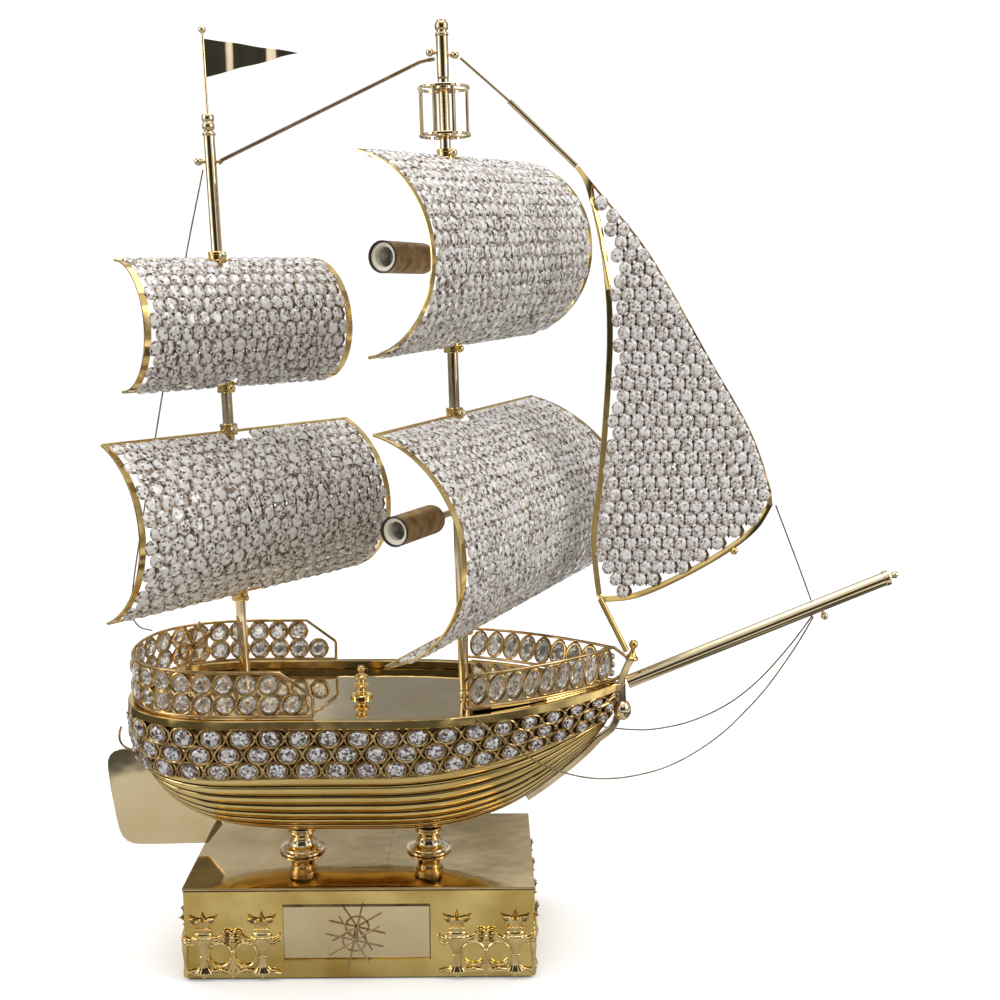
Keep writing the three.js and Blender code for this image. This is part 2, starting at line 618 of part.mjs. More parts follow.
function makeMasts() {
  const r = MAST_RADIUS;
  const mizzenHeight = MIZZEN.top - MIZZEN.foot;
  const mizzenTube = MIZZEN.tube - MIZZEN.foot;
  const mizzen = [
    [0, 0], [9, 0], [9, 2], [6, 4], [r, 5], [r, mizzenTube - 40], [5.5, mizzenTube - 39],
    [5.5, mizzenTube - 2],
    [4.6, mizzenTube], [3.2, mizzenTube + 3], [4.8, mizzenTube + 7], [3, mizzenTube + 11],
    [2.6, mizzenHeight], [PENNANT.bore, mizzenHeight], [PENNANT.bore, mizzenHeight - PENNANT.depth],
    [0, mizzenHeight - PENNANT.depth],
  ];
  const mizzenBody = turned(mizzen, mastPoint(MIZZEN, MIZZEN.foot), mastPoint(MIZZEN, MIZZEN.top), 12);
  const screw = (mast, z, side) => {
    const [x] = mastPoint(mast, z);
    return [rod([x + 4 * side, 0, z], [x + 8.5 * side, 0, z], 1.5, 8), ball([x + 11 * side, 0, z], 3.5, 8)];
  };
  place("mizzen_mast", join(mizzenBody, ...screw(MIZZEN, 740, -1)), brass);

  const mainHeight = MAIN.top - MAIN.foot;
  const mainTube = MAIN.tube - MAIN.foot;
  const main = [
    [0, 0], [6.2, 0], [6.2, 2], [5.2, 4], [r, 5], [r, mainTube - 20], [5.5, mainTube - 19],
    [5.5, mainTube - 1],
    [4.4, mainTube], [2.8, mainTube + 4], [4.4, mainTube + 8], [4.4, mainTube + 14], [2.6, mainTube + 17],
    [3, mainTube + 19.5], [0, mainHeight],
  ];
  const mainBody = turned(main, mastPoint(MAIN, MAIN.foot), mastPoint(MAIN, MAIN.top), 12);
  place("main_mast", join(mainBody, ...screw(MAIN, 832.5, -1), ...screw(MAIN, 830.5, 1)), brass);
}

function makeCrowsNest() {
  const [low, high] = [761.5, 805];
  const radius = 23;
  const hoop = [[radius - 2, 0], [radius, 0], [radius, 2.4], [radius - 2, 2.4], [radius - 2, 0]];
  const bore = MAST_RADIUS + 2 * GAP;
  const hub = [[bore, 0], [8.5, 0], [8.5, 3], [bore, 3], [bore, 0]];
  const pieces = [];
  for (const z of [low, high]) {
    pieces.push(turned(hoop, mastPoint(MAIN, z), mastPoint(MAIN, z + 1), 12));
    pieces.push(turned(hub, mastPoint(MAIN, z), mastPoint(MAIN, z + 1), 8));
  }
  for (let i = 0; i < 8; i++) {
    const angle = (Math.PI * (i + 0.5)) / 4;
    const at = (reach, z) => [mastX(MAIN, z) + reach * Math.cos(angle), reach * Math.sin(angle), z];
    pieces.push(rod(at(radius - 1, low + 1), at(radius - 1, high + 1), 1.1, 4));
    if (i % 4 === 0) pieces.push(rod(at(7, low + 1.2), at(radius - 1, low + 1.2), 1, 4));
    if (i % 4 === 0) pieces.push(rod(at(7, high + 1.2), at(radius - 1, high + 1.2), 1, 4));
  }
  place("crows_nest", join(...pieces), brass);
}

function makePennant() {
  const low = MIZZEN.top - PENNANT.depth + GAP;
  const shaft = rod(mastPoint(MIZZEN, low), mastPoint(MIZZEN, PENNANT.top - 2), PENNANT.rod, 8);
  const knob = ball(mastPoint(MIZZEN, PENNANT.top), 3.2, 8);
  const [x] = mastPoint(MIZZEN, 827);
  const cloth = uprightPlate([[x, 811], [x + 82, 832], [x - 0.5, 843.5]], 0.8);
  place("pennant", join(shaft, knob, cloth), mirror);
}

function bowspritPoint(distance, rise = 0) {
  const angle = degrees(BOWSPRIT.rise);
  const x = BOWSPRIT.x + distance * Math.cos(angle) - rise * Math.sin(angle);
  return [x, 0, BOWSPRIT.z + distance * Math.sin(angle) + rise * Math.cos(angle)];
}

function makeBowsprit() {
  const [r, length] = [BOWSPRIT.radius, BOWSPRIT.length];
  const profile = [
    [0, 0], [r + 1.2, 0], [r + 1.2, 3], [r, 4], [r, length - 6], [r + 0.8, length - 5],
    [r + 0.8, length - 1], [3, length], [2.2, length + 2], [3.6, length + 5], [2.2, length + 8],
    [0, length + 8.6],
  ];
  const spar = turned(profile, bowspritPoint(0), bowspritPoint(1), 12);
  const at = 190.5;
  const screw = rod(bowspritPoint(at, -4), bowspritPoint(at, -9), 1.5, 8);
  place("bowsprit", join(spar, screw, ball(bowspritPoint(at, -12), 3.6, 8)), brass);
}

// The wires' routes: [x, y, z] points, chosen by eye.
const STERN_STAY = [
  [-132.5, 0, 733], [-152, 3, 656], [-180, 10, 535], [-205, 20, 425], [-223, 28, 340], [-226, 33, 318],
  [-220, 37, 305], [-208.5, 39, 300.8],
];
const JIB_SHEET = [[387.5, 0, 430.5], [399, 0, 402.5], [412, 0, 371], [424.6, 0, 339.2]];
const BOBSTAY = [
  [427, -2, 323.6], [416, -5, 305], [400, -9, 281], [380, -14, 255], [358, -20, 233], [338, -28, 217.5],
  [316, -36, 205], [296, -44, 197], [277, -51, 192], [256, -59, 190], [236, -66, 190], [213, -73, 193],
  [190, -79, 200], [165, -84, 212], [138, -87, 230], [110, -86.5, 251],
];

function makeRigging() {
  const rodPoints = (points, radius, sides) => {
    const pieces = [];
    for (let i = 1; i < points.length; i++) pieces.push(rod(points[i - 1], points[i], radius, sides));
    for (let i = 1; i + 1 < points.length; i++) pieces.push(ball(points[i], radius * 1.05, 8));
    return join(...pieces);
  };
  const masthead = rodPoints([[-117.5, 0, 740.4], [62, 0, 825.4], [73.3, 0, 827]], 1.7, 8);
  place("masthead_rod", masthead, brass);
  const thin = rod([95.6, 0, 828], [139, 0, 791.4], 1.2, 8);
  const sleeve = rod([138, 0, 792.2], [193, 0, 741.2], 2.4, 10);
  place("jib_stay_rod", join(thin, sleeve), brass);
  place("stern_stay", tube(STERN_STAY, WIRE_RADIUS, 20), steel);
  place("jib_sheet", tube(JIB_SHEET, WIRE_RADIUS, 4), steel);
  place("bobstay_starboard", tube(BOBSTAY, WIRE_RADIUS, 24), steel);
  place("bobstay_port", tube(BOBSTAY.map(([x, y, z]) => [x, -y, z]), WIRE_RADIUS, 24), steel);
}

// ---- jib ----
const JIB = {
  luff: [[196.6, 735.4], [207.5, 716], [222, 655], [227.5, 580], [222, 469], [215.4, 400], [222, 338]],
  foot: [[222, 338], [258, 341.5], [300, 359.5], [344.5, 385.5], [372, 409], [386, 434]],
  leech: [[386, 434], [363, 497], [322, 566], [265, 660], [217, 717], [200, 738]],
};

function makeJib() {
  const curve = (points) => new THREE.SplineCurve(points.map(([x, z]) => new THREE.Vector2(x, z)));
  const edge = (points, inset, from, to, count) => {
    const line = curve(points);
    const out = [];
    for (let i = 0; i <= count; i++) {
      const t = lerp(from, to, i / count);
      const point = line.getPoint(t);
      const along = line.getTangent(t);
      out.push([point.x - along.y * inset, point.y + along.x * inset]);
    }
    return out;
  };
  const outer = [
    ...edge(JIB.luff, 0, 0, 1, 14), ...edge(JIB.foot, 0, 0.06, 1, 9), ...edge(JIB.leech, 0, 0.06, 1, 9),
  ];
  const inner = (extra, trim) => [
    ...edge(JIB.luff, STRIP.width + extra, 0.3 + trim, 0.975 - trim, 12),
    ...edge(JIB.foot, STRIP.width - 1 + extra, 0.05 + trim, 0.955 - trim, 9),
    ...edge(JIB.leech, 2.6 + extra, 0.04 + trim, 0.72 - trim, 9),
  ];
  const ring = uprightPlate(outer, 3, inner(0, 0));
  const post = rod([247.4, 0, 296.4], [224.9, 0, 341], 3, 10);
  const knob = ball([350, 0, 387], 3.6, 8);
  place("jib_frame", join(ring, post, knob), brass);
  place("jib_crystals", uprightPlate(inner(0.6, 0.01), CRYSTAL_THICKNESS), crystal);
}

// ---- square sails ----
// A point of a sail: across runs from -1 at the near end of the yard to 1, down from 0 to 1.
function sailPoint(sail, across, down, offset = 0) {
  const height = sail.top - sail.bottom;
  const radius = (height * height) / (8 * sail.belly) + sail.belly / 2;
  const half = Math.asin(Math.min(1, height / 2 / radius));
  const arc = half * (1 - 2 * down);
  const z = (sail.top + sail.bottom) / 2 + (radius + offset) * Math.sin(arc);
  const bulge = sail.belly - radius + (radius + offset) * Math.cos(arc);
  const drop = (sail.top - z) / height;
  const length = lerp(sail.topLength, sail.bottomLength, drop);
  const along = (across * length) / 2 + lerp(sail.topShift, sail.bottomShift, drop);
  const yaw = degrees(sail.yaw);
  const x = mastX(sail.mast, z) + along * Math.cos(yaw) + bulge * Math.sin(yaw);
  const y = along * Math.sin(yaw) - bulge * Math.cos(yaw);
  return [x, y, z + (2 * sail.tilt * along) / sail.topLength];
}

function makeSail(name, sail) {
  const edge = 1 - (2 * STRIP.width) / sail.topLength;
  const strip = (from, to) => sheet(
    (u, v, offset) => sailPoint(sail, lerp(from, to, u), v, offset),
    1, 10, -STRIP.thickness / 2, STRIP.thickness / 2,
  );
  const yard = (down) => rod(sailPoint(sail, -0.99, down), sailPoint(sail, 0.99, down), 1.4, 6);
  const collar = (z, direction) => {
    const low = z - COLLAR.height / 2 - direction * 2;
    return rod(mastPoint(sail.mast, low), mastPoint(sail.mast, low + COLLAR.height), COLLAR.radius, 10);
  };
  const [under, over] = [mastPoint(sail.mast, sail.bottom - 20), mastPoint(sail.mast, sail.top + 20)];
  const bore = rod(under, over, COLLAR.bore, 10);
  const screwTurn = degrees(-55);
  const aim = (mast, z, reach) => [
    mastX(mast, z) + reach * Math.cos(screwTurn), reach * Math.sin(screwTurn), z,
  ];
  const screwHeight = sail.top + 3;
  const screwHole = rod(aim(sail.mast, screwHeight, 3), aim(sail.mast, screwHeight, 12), 1.8, 6);
  const lowHeight = sail.bottom - 3;
  const pieces = [strip(-1, -edge), strip(edge, 1), yard(0), yard(1)];
  pieces.push(collar(sail.top, -1), collar(sail.bottom, 1));
  pieces.push(rod(aim(sail.mast, lowHeight, 7), aim(sail.mast, lowHeight, 10.5), 1.5, 6));
  pieces.push(ball(aim(sail.mast, lowHeight, 12.5), 3.5, 6));
  place(`${name}_frame`, cut(join(...pieces), bore, screwHole), brass);

  const inner = edge - 0.01;
  const panel = sheet(
    (u, v, offset) => sailPoint(sail, lerp(-inner, inner, u), lerp(0.03, 0.97, v), offset),
    4, 10, -CRYSTAL_THICKNESS / 2, CRYSTAL_THICKNESS / 2,
  );
  const notch = rod(under, over, COLLAR.radius + 0.8, 10);
  const screwRoom = (z) => rod(aim(sail.mast, z, 5), aim(sail.mast, z, 20), 4.6, 6);
  const clear = cut(panel, notch, screwRoom(screwHeight), screwRoom(lowHeight));
  place(`${name}_crystals`, clear, crystal);

  const screw = [rod(aim(sail.mast, screwHeight, 5.2), aim(sail.mast, screwHeight, 11), 1.4, 6)];
  screw.push(ball(aim(sail.mast, screwHeight, 12.5), 3.5, 8));
  place(`${name}_clamp_screw`, join(...screw), brass);
}

// ---- lampholders ----
function makeLampholder(name, z) {
  const turn = degrees(LAMP.turn);
  const at = (distance) => [
    mastX(MAIN, z) - distance * Math.cos(turn), -distance * Math.sin(turn), z,
  ];
  const bore = MAST_RADIUS + GAP;
  const collar = [[bore, 0], [8, 0], [8, 10], [bore, 10], [bore, 0]];
  const ring = turned(collar, mastPoint(MAIN, z - 5), mastPoint(MAIN, z + 5), 10);
  const arm = rod(at(7), at(LAMP.near - 1), LAMP.arm, 8);
  const mouth = LAMP.far - LAMP.near - 2;
  const cup = [
    [0, 0], [LAMP.insert - 2, 0], [LAMP.insert, 3], [LAMP.insert, mouth], [LAMP.socket, mouth],
    [LAMP.socket, mouth - 26], [0, mouth - 26],
  ];
  const insert = turned(cup, at(LAMP.near), at(LAMP.far), 14);
  const boss = rod(at(LAMP.near - 2), at(LAMP.near + 2), 5, 8);
  place(`lampholder_${name}`, join(ring, arm, insert, boss), ceramic);
  const [low, high] = [LAMP.insert + GAP, LAMP.sleeve];
  const length = LAMP.far - LAMP.near - 3;
  const sleeve = [[low, 0], [high, 0], [high, length], [low, length], [low, 0]];
  place(`lamp_sleeve_${name}`, turned(sleeve, at(LAMP.near + 3), at(LAMP.far), 14), darkBrass);
}

makeBase();
makeEmblemWheel();
makeCastings();
makePedestals();
makeHull();
makeAftRail();
makeForeRail();
makeStem();
makeRudder();
makeDeckFittings();
makeMasts();
makeCrowsNest();
makePennant();
makeBowsprit();
makeRigging();
makeJib();
for (const [name, sail] of Object.entries(SAILS)) makeSail(name, sail);
for (const [name, z] of Object.entries(LAMP_HEIGHTS)) makeLampholder(name, z);

export default lamp;
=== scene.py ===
# A polished brass sailing-ship table lamp with crystal sails. Shapes are worked out in millimetres and
# stored in metres. The hull's and the sails' formulas repeat those of the CAD part.
import math
import random

import bmesh
import bpy
import numpy as np
from mathutils import Matrix, Vector


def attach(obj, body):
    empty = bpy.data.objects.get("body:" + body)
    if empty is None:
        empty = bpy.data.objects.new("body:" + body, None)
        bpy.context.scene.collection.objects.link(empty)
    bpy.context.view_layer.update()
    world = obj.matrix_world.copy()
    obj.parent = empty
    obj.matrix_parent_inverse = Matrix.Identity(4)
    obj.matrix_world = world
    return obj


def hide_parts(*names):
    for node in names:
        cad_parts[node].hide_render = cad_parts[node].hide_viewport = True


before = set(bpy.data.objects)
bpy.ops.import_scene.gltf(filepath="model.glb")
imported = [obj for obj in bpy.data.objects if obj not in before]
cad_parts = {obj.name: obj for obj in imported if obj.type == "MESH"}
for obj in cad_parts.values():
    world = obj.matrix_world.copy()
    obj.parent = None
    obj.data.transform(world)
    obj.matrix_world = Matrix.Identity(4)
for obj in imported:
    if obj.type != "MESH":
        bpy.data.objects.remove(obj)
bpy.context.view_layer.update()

random.seed(11)
MM = 0.001
GAP = 0.3

CAMERA = {"place": (0.115, -1.1076, 0.6286), "down": 9.86, "turn": 0.79, "lens": 43.56, "sensor": 36}
BASE = {"length": 320, "width": 157, "bottom": 1.8, "top": 88.7, "wall": 2, "plate": 2, "lip": 1}
WINDOW = {"x": -2.3, "width": 135, "low": 19.5, "high": 74.5}
PEDESTALS = {"aft": -62, "fore": 61}
PEDESTAL_HEIGHT = 24.4
HULL = {"stern": -214, "bow": 240, "half_beam": 87, "stern_curve": -100, "bow_curve": 30, "wall": 2.5}
DECK = {"main": 246.5, "fore": 259.3}
MAST_RADIUS = 4.85  # the CAD's is 4.5
MIZZEN = {"x": -112, "z": 274.5, "lean": -0.02843, "foot": 247.4, "tube": 767, "top": 785}
MAIN = {"x": 96, "z": 254, "lean": -0.02783, "foot": 247.4, "top": 860}
BOWSPRIT = {"x": 257.5, "z": 261.5, "rise": 22.6, "length": 260.5, "radius": 6.5}
STRIP = {"width": 6, "thickness": 1.5}
LAMP = {"turn": 63, "near": 43.5, "arm": 3}
LAMP_HEIGHTS = {"upper": 655, "lower": 426.5}
HELM = {"x": -160, "z": 297, "turn": -37, "ring": 16}
AFT_RAIL = {"end": -36, "shoulder": -65, "post": 276, "top": 297.5, "low": 257}
FORE_RAIL = {"end": 98, "top": 291, "bow_rise": 2.5}
RAIL_RADIUS = 1.5
RAIL_INSET = -1.5
RAIL_BOW_ANGLE = 0.16
BAND_CELLS = 41
AFT_CELLS = (22, 20)
FORE_CELLS = 9
THUMB_RADIUS = 3.5
SCREW_TURN = math.radians(-55)
WIRE_RADIUS = 0.75

SAILS = {
    "mizzen_topsail": dict(
        pitch=(10.8, 11.6), mast=MIZZEN, yaw=39.3, top=655, bottom=543.4, belly=53.2,
        lengths=(200, 205), shifts=(3.8, 3.8), tilt=1.7,
    ),
    "mizzen_course": dict(
        pitch=(13.4, 11.5), mast=MIZZEN, yaw=50.1, top=500.6, bottom=349, belly=51.1,
        lengths=(283, 301), shifts=(8.1, 8.1), tilt=0,
    ),
    "main_topsail": dict(
        pitch=(11.0, 11.6), mast=MAIN, yaw=58.6, top=744, bottom=579.4, belly=67.6,
        lengths=(285, 276), shifts=(10.7, 10.7), tilt=6.7,
    ),
    "main_course": dict(
        pitch=(10.4, 11.3), mast=MAIN, yaw=60.4, top=515, bottom=315.6, belly=81.1,
        lengths=(287, 403), shifts=(12, 71.6), tilt=5.5,
    ),
}

# Routes of the wires, in metres.
STERN_STAY = [
    (-0.1325, 0, 0.733), (-0.152, 0.003, 0.656), (-0.18, 0.01, 0.535), (-0.205, 0.02, 0.425),
    (-0.223, 0.028, 0.34), (-0.226, 0.033, 0.318), (-0.22, 0.037, 0.305), (-0.2085, 0.039, 0.3008),
]
JIB_SHEET = [(0.3875, 0, 0.4305), (0.399, 0, 0.4025), (0.412, 0, 0.371), (0.4246, 0, 0.3392)]
BOBSTAY = [
    (0.427, -0.002, 0.3236), (0.416, -0.005, 0.305), (0.4, -0.009, 0.281), (0.38, -0.014, 0.255),
    (0.358, -0.02, 0.233), (0.338, -0.028, 0.2175), (0.316, -0.036, 0.205), (0.296, -0.044, 0.197),
    (0.277, -0.051, 0.192), (0.256, -0.059, 0.19), (0.236, -0.066, 0.19), (0.213, -0.073, 0.193),
    (0.19, -0.079, 0.2), (0.165, -0.084, 0.212), (0.138, -0.087, 0.23), (0.11, -0.0865, 0.251),
]


# ---- materials ----
def nodes_of(name):
    material = bpy.data.materials.new(name)
    material.use_nodes = True
    tree = material.node_tree
    return material, tree, tree.nodes["Principled BSDF"]


def noise(tree, scale, detail=4.0, stretch=(1, 1, 1)):
    place = tree.nodes.new("ShaderNodeTexCoord")
    mapping = tree.nodes.new("ShaderNodeMapping")
    mapping.inputs["Scale"].default_value = stretch
    tree.links.new(place.outputs["Object"], mapping.inputs["Vector"])
    texture = tree.nodes.new("ShaderNodeTexNoise")
    texture.inputs["Scale"].default_value = scale
    texture.inputs["Detail"].default_value = detail
    tree.links.new(mapping.outputs["Vector"], texture.inputs["Vector"])
    return texture.outputs["Fac"]


def spread(tree, value, low, high, start=0.3, end=0.7):
    """Maps a noise onto a range of numbers."""
    ranged = tree.nodes.new("ShaderNodeMapRange")
    ranged.inputs["From Min"].default_value = start
    ranged.inputs["From Max"].default_value = end
    ranged.inputs["To Min"].default_value = low
    ranged.inputs["To Max"].default_value = high
    tree.links.new(value, ranged.inputs["Value"])
    return ranged.outputs["Result"]


def colour_ramp(tree, value, positions, colours):
    ramp = tree.nodes.new("ShaderNodeValToRGB")
    for extra in range(len(positions) - 2):
        ramp.color_ramp.elements.new(0.1 + 0.1 * extra)
    for element, position, colour in zip(ramp.color_ramp.elements, positions, colours):
        element.position = position
        element.color = (*colour, 1)
    tree.links.new(value, ramp.inputs["Fac"])
    return ramp.outputs["Color"]


def blend_colours(tree, value, colours):
    return colour_ramp(tree, value, (0.32, 0.68), colours)


def bump(tree, shader, height, strength, distance):
    node = tree.nodes.new("ShaderNodeBump")
    node.inputs["Strength"].default_value = strength
    node.inputs["Distance"].default_value = distance
    tree.links.new(height, node.inputs["Height"])
    tree.links.new(node.outputs["Normal"], shader.inputs["Normal"])


def metal(name, colours, roughness, ripple, scale, grain):
    """Polished metal: cloudy colour, smudged gloss and a slightly wavy surface, or a brushed grain."""
    material, tree, shader = nodes_of(name)
    shader.inputs["Metallic"].default_value = 1
    tree.links.new(blend_colours(tree, noise(tree, scale, 5), colours), shader.inputs["Base Color"])
    tree.links.new(spread(tree, noise(tree, 55, 6), *roughness), shader.inputs["Roughness"])
    height = noise(tree, *grain) if grain else noise(tree, 22, 2)
    bump(tree, shader, height, 1.0, ripple)
    return material


def facet_tones(tree, tones, steps):
    """Painted glints and painted shade of cut glass: each facet is painted one tone, from its glint number.
    """
    glint = tree.nodes.new("ShaderNodeAttribute")
    glint.attribute_name = "glint"
    return colour_ramp(tree, glint.outputs["Fac"], steps, tones)


# Where each tone of a crystal's painted glints and painted shade starts, from the darkest.
EARLY_STEPS = (0.0, 0.16, 0.35, 0.54)
EVEN_STEPS = (0.0, 0.22, 0.50, 0.74)

METALS = {
    # name: the two colours, the range of roughness, the ripple's depth, the clouds' scale
    "polished_brass": (((0.70, 0.48, 0.16), (0.94, 0.71, 0.31)), (0.05, 0.15), 0.0009, 14.0),
    "hull_brass": (((0.72, 0.50, 0.16), (0.95, 0.73, 0.32)), (0.05, 0.16), 0.0008, 14.0),
    "base_brass": (((0.55, 0.36, 0.08), (1.0, 0.79, 0.31)), (0.05, 0.17), 0.0012, 16),
    "plate_brass": (((0.56, 0.42, 0.20), (0.86, 0.68, 0.39)), (0.04, 0.13), 0.0006, 11),
    "pale_brass": (((0.58, 0.43, 0.24), (0.92, 0.77, 0.51)), (0.04, 0.12), 0.0003, 30),
    "tan_brass": (((0.26, 0.18, 0.10), (0.55, 0.43, 0.27)), (0.12, 0.28), 0.0002, 40),
    "thin_brass": (((0.34, 0.21, 0.08), (0.78, 0.57, 0.28)), (0.08, 0.22), 0.0003, 60),
    # Near-black brass: painted shade under the lip, in the window's recess, on the casting leaves, behind
    # the hull crystals and on the links between crystals; also the top plate's seam.
    "painted_shade_and_seam_brass": (((0.10, 0.06, 0.03), (0.30, 0.20, 0.10)), (0.2, 0.4), 0.0004, 70),
    # groove_shade_brass: near-black, for painted shade in the hull's grooves.
    "groove_shade_brass": (((0.02, 0.012, 0.006), (0.11, 0.07, 0.03)), (0.3, 0.5), 0.0003, 60),
    "cast_brass": (((0.70, 0.50, 0.19), (0.95, 0.76, 0.38)), (0.05, 0.16), 0.0006, 90),
    "mirror_brass": (((0.80, 0.64, 0.37), (0.94, 0.80, 0.52)), (0.03, 0.10), 0.0005, 14.0),
    "bronzed_sleeve": (((0.28, 0.15, 0.05), (0.62, 0.42, 0.19)), (0.3, 0.5), 0.0002, 90),
    "rigging_wire": (((0.20, 0.15, 0.09), (0.44, 0.36, 0.24)), (0.25, 0.4), 0.0001, 120),
    "plated_steel": (((0.48, 0.47, 0.45), (0.66, 0.65, 0.62)), (0.25, 0.42), 0.0002, 60),
}
GRAIN = {"bronzed_sleeve": (260, 3, (1, 1, 8))}


def make_materials():
    made = {}
    for name, (colours, roughness, ripple, scale) in METALS.items():
        made[name] = metal(name, colours, roughness, ripple, scale, GRAIN.get(name))
    # Crystal tones are painted glints and painted shade on clear glass; jib_crystal's tones are lighter,
    # painted light on the jib's face.
    for name, scatter, steps, tones in (
        ("crystal", 0.36, EARLY_STEPS,
         ((0.07, 0.045, 0.03), (0.36, 0.27, 0.20), (0.84, 0.75, 0.67), (1.0, 0.98, 0.95))),
        ("jib_crystal", 0.30, EVEN_STEPS,
         ((0.12, 0.08, 0.05), (0.62, 0.52, 0.44), (0.98, 0.93, 0.90), (1.0, 1.0, 1.0))),
        ("hull_crystal", 0.40, EVEN_STEPS,
         ((0.03, 0.02, 0.02), (0.20, 0.15, 0.13), (0.56, 0.51, 0.52), (1.0, 1.0, 1.0))),
        ("rail_crystal", 0.90, EVEN_STEPS,
         ((0.16, 0.11, 0.07), (0.78, 0.72, 0.65), (0.98, 0.97, 0.95), (1.0, 1.0, 1.0))),
    ):
        material, tree, shader = nodes_of(name)
        tree.links.new(facet_tones(tree, tones, steps), shader.inputs["Base Color"])
        tree.links.new(spread(tree, noise(tree, 400, 2), 0.01, 0.07), shader.inputs["Roughness"])
        shader.inputs["IOR"].default_value = 1.56
        shader.inputs["Transmission Weight"].default_value = scatter
        shader.inputs["Coat Weight"].default_value = 0.7
        shader.inputs["Coat Roughness"].default_value = 0.02
        made[name] = material
    for name, colours, roughness, fine, depth in (
        ("porcelain", ((0.72, 0.66, 0.52), (0.84, 0.79, 0.66)), (0.38, 0.55), 300, 0.0002),
        ("black_plastic", ((0.012, 0.012, 0.012), (0.03, 0.03, 0.03)), (0.3, 0.5), 500, 0.0001),
        ("felt", ((0.02, 0.03, 0.025), (0.05, 0.065, 0.055)), (0.9, 1.0), 900, 0.0006),
    ):
        material, tree, shader = nodes_of(name)
        tree.links.new(blend_colours(tree, noise(tree, 120, 5), colours), shader.inputs["Base Color"])
        tree.links.new(spread(tree, noise(tree, 80, 5), *roughness), shader.inputs["Roughness"])
        bump(tree, shader, noise(tree, fine, 6), 0.8, depth)
        made[name] = material
    return made


MATERIALS = make_materials()


# ---- mesh building, in millimetres ----
class Shape:
    """A growing mesh: points in millimetres and faces."""

    def __init__(self):
        self.points = []
        self.faces = []
        self.glints = []

    def add(self, points, faces):
        first = len(self.points)
        self.points.extend(tuple(point) for point in points)
        self.faces.extend(tuple(first + index for index in face) for face in faces)
        return self


def piece(name, shape, material, body="root", replaces=(), sharp=32, metres=False):
    """Makes an object of a shape, gives it its material and says what it rides on and stands for."""
    mesh = bpy.data.meshes.new(name)
    scale = 1 if metres else MM
    mesh.from_pydata([tuple(c * scale for c in point) for point in shape.points], [], shape.faces)
    made = bmesh.new()
    made.from_mesh(mesh)
    if not shape.glints:
        bmesh.ops.remove_doubles(made, verts=made.verts, dist=2e-6)
        bmesh.ops.dissolve_degenerate(made, edges=made.edges, dist=1e-6)
    bmesh.ops.recalc_face_normals(made, faces=made.faces)
    made.to_mesh(mesh)
    made.free()
    if shape.glints:
        mesh.attributes.new("glint", "FLOAT", "FACE").data.foreach_set("value", shape.glints)
    if sharp:
        mesh.shade_smooth()
        mesh.set_sharp_from_angle(angle=math.radians(sharp))
    mesh.materials.append(MATERIALS[material])
    thing = bpy.data.objects.new(name, mesh)
    bpy.context.scene.collection.objects.link(thing)
    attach(thing, body)
    if replaces:
        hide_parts(*replaces)
    return thing


def grid(rows, columns, around=False, loop=False):
    """Quads over rows x columns points. around joins each row's ends, loop the last row to the first."""
    faces = []
    for i in range(rows if loop else rows - 1):
        for j in range(columns if around else columns - 1):
            k = (j + 1) % columns
            below = ((i + 1) % rows) * columns
            faces.append((i * columns + j, i * columns + k, below + k, below + j))
    return faces


def capped(rows, columns):
    """A run of closed rings with a face at each end."""
    last = (rows - 1) * columns
    ends = [tuple(range(columns))[::-1], tuple(last + k for k in range(columns))]
    return grid(rows, columns, around=True) + ends


def lathe(shape, profile, start, end, sides=40):
    """A turned form: profile lists (radius, distance) from start towards end."""
    start = Vector(start)
    axis = (Vector(end) - start).normalized()
    side = axis.orthogonal().normalized()
    other = axis.cross(side)
    points = []
    for radius, distance in profile:
        for k in range(sides):
            angle = 2 * math.pi * k / sides
            reach = side * math.cos(angle) + other * math.sin(angle)
            points.append(start + axis * distance + reach * radius)
    return shape.add(points, grid(len(profile), sides, around=True))


def rounded(profile, steps=5):
    """A smooth curve through a turned form's points, keeping its ends."""
    return [tuple(point) for point in through([Vector((r, d, 0)) for r, d in profile], steps, flat=True)]


def through(points, steps, flat=False):
    """Points along a centripetal curve through the given ones."""
    count = len(points)
    line = []
    for i in range(count - 1):
        p1, p2 = points[i], points[i + 1]
        p0 = points[i - 1] if i > 0 else p1 * 2 - p2
        p3 = points[i + 2] if i + 2 < count else p2 * 2 - p1
        t0 = 0.0
        t1 = t0 + max(1e-4, (p1 - p0).length) ** 0.5
        t2 = t1 + max(1e-4, (p2 - p1).length) ** 0.5
        t3 = t2 + max(1e-4, (p3 - p2).length) ** 0.5
        for k in range(steps):
            t = t1 + (t2 - t1) * k / steps
            a1 = p0 * ((t1 - t) / (t1 - t0)) + p1 * ((t - t0) / (t1 - t0))
            a2 = p1 * ((t2 - t) / (t2 - t1)) + p2 * ((t - t1) / (t2 - t1))
            a3 = p2 * ((t3 - t) / (t3 - t2)) + p3 * ((t - t2) / (t3 - t2))
            b1 = a1 * ((t2 - t) / (t2 - t0)) + a2 * ((t - t0) / (t2 - t0))
            b2 = a2 * ((t3 - t) / (t3 - t1)) + a3 * ((t - t1) / (t3 - t1))
            line.append(b1 * ((t2 - t) / (t2 - t1)) + b2 * ((t - t1) / (t2 - t1)))
    line.append(points[-1].copy())
    return [point.to_2d() for point in line] if flat else line


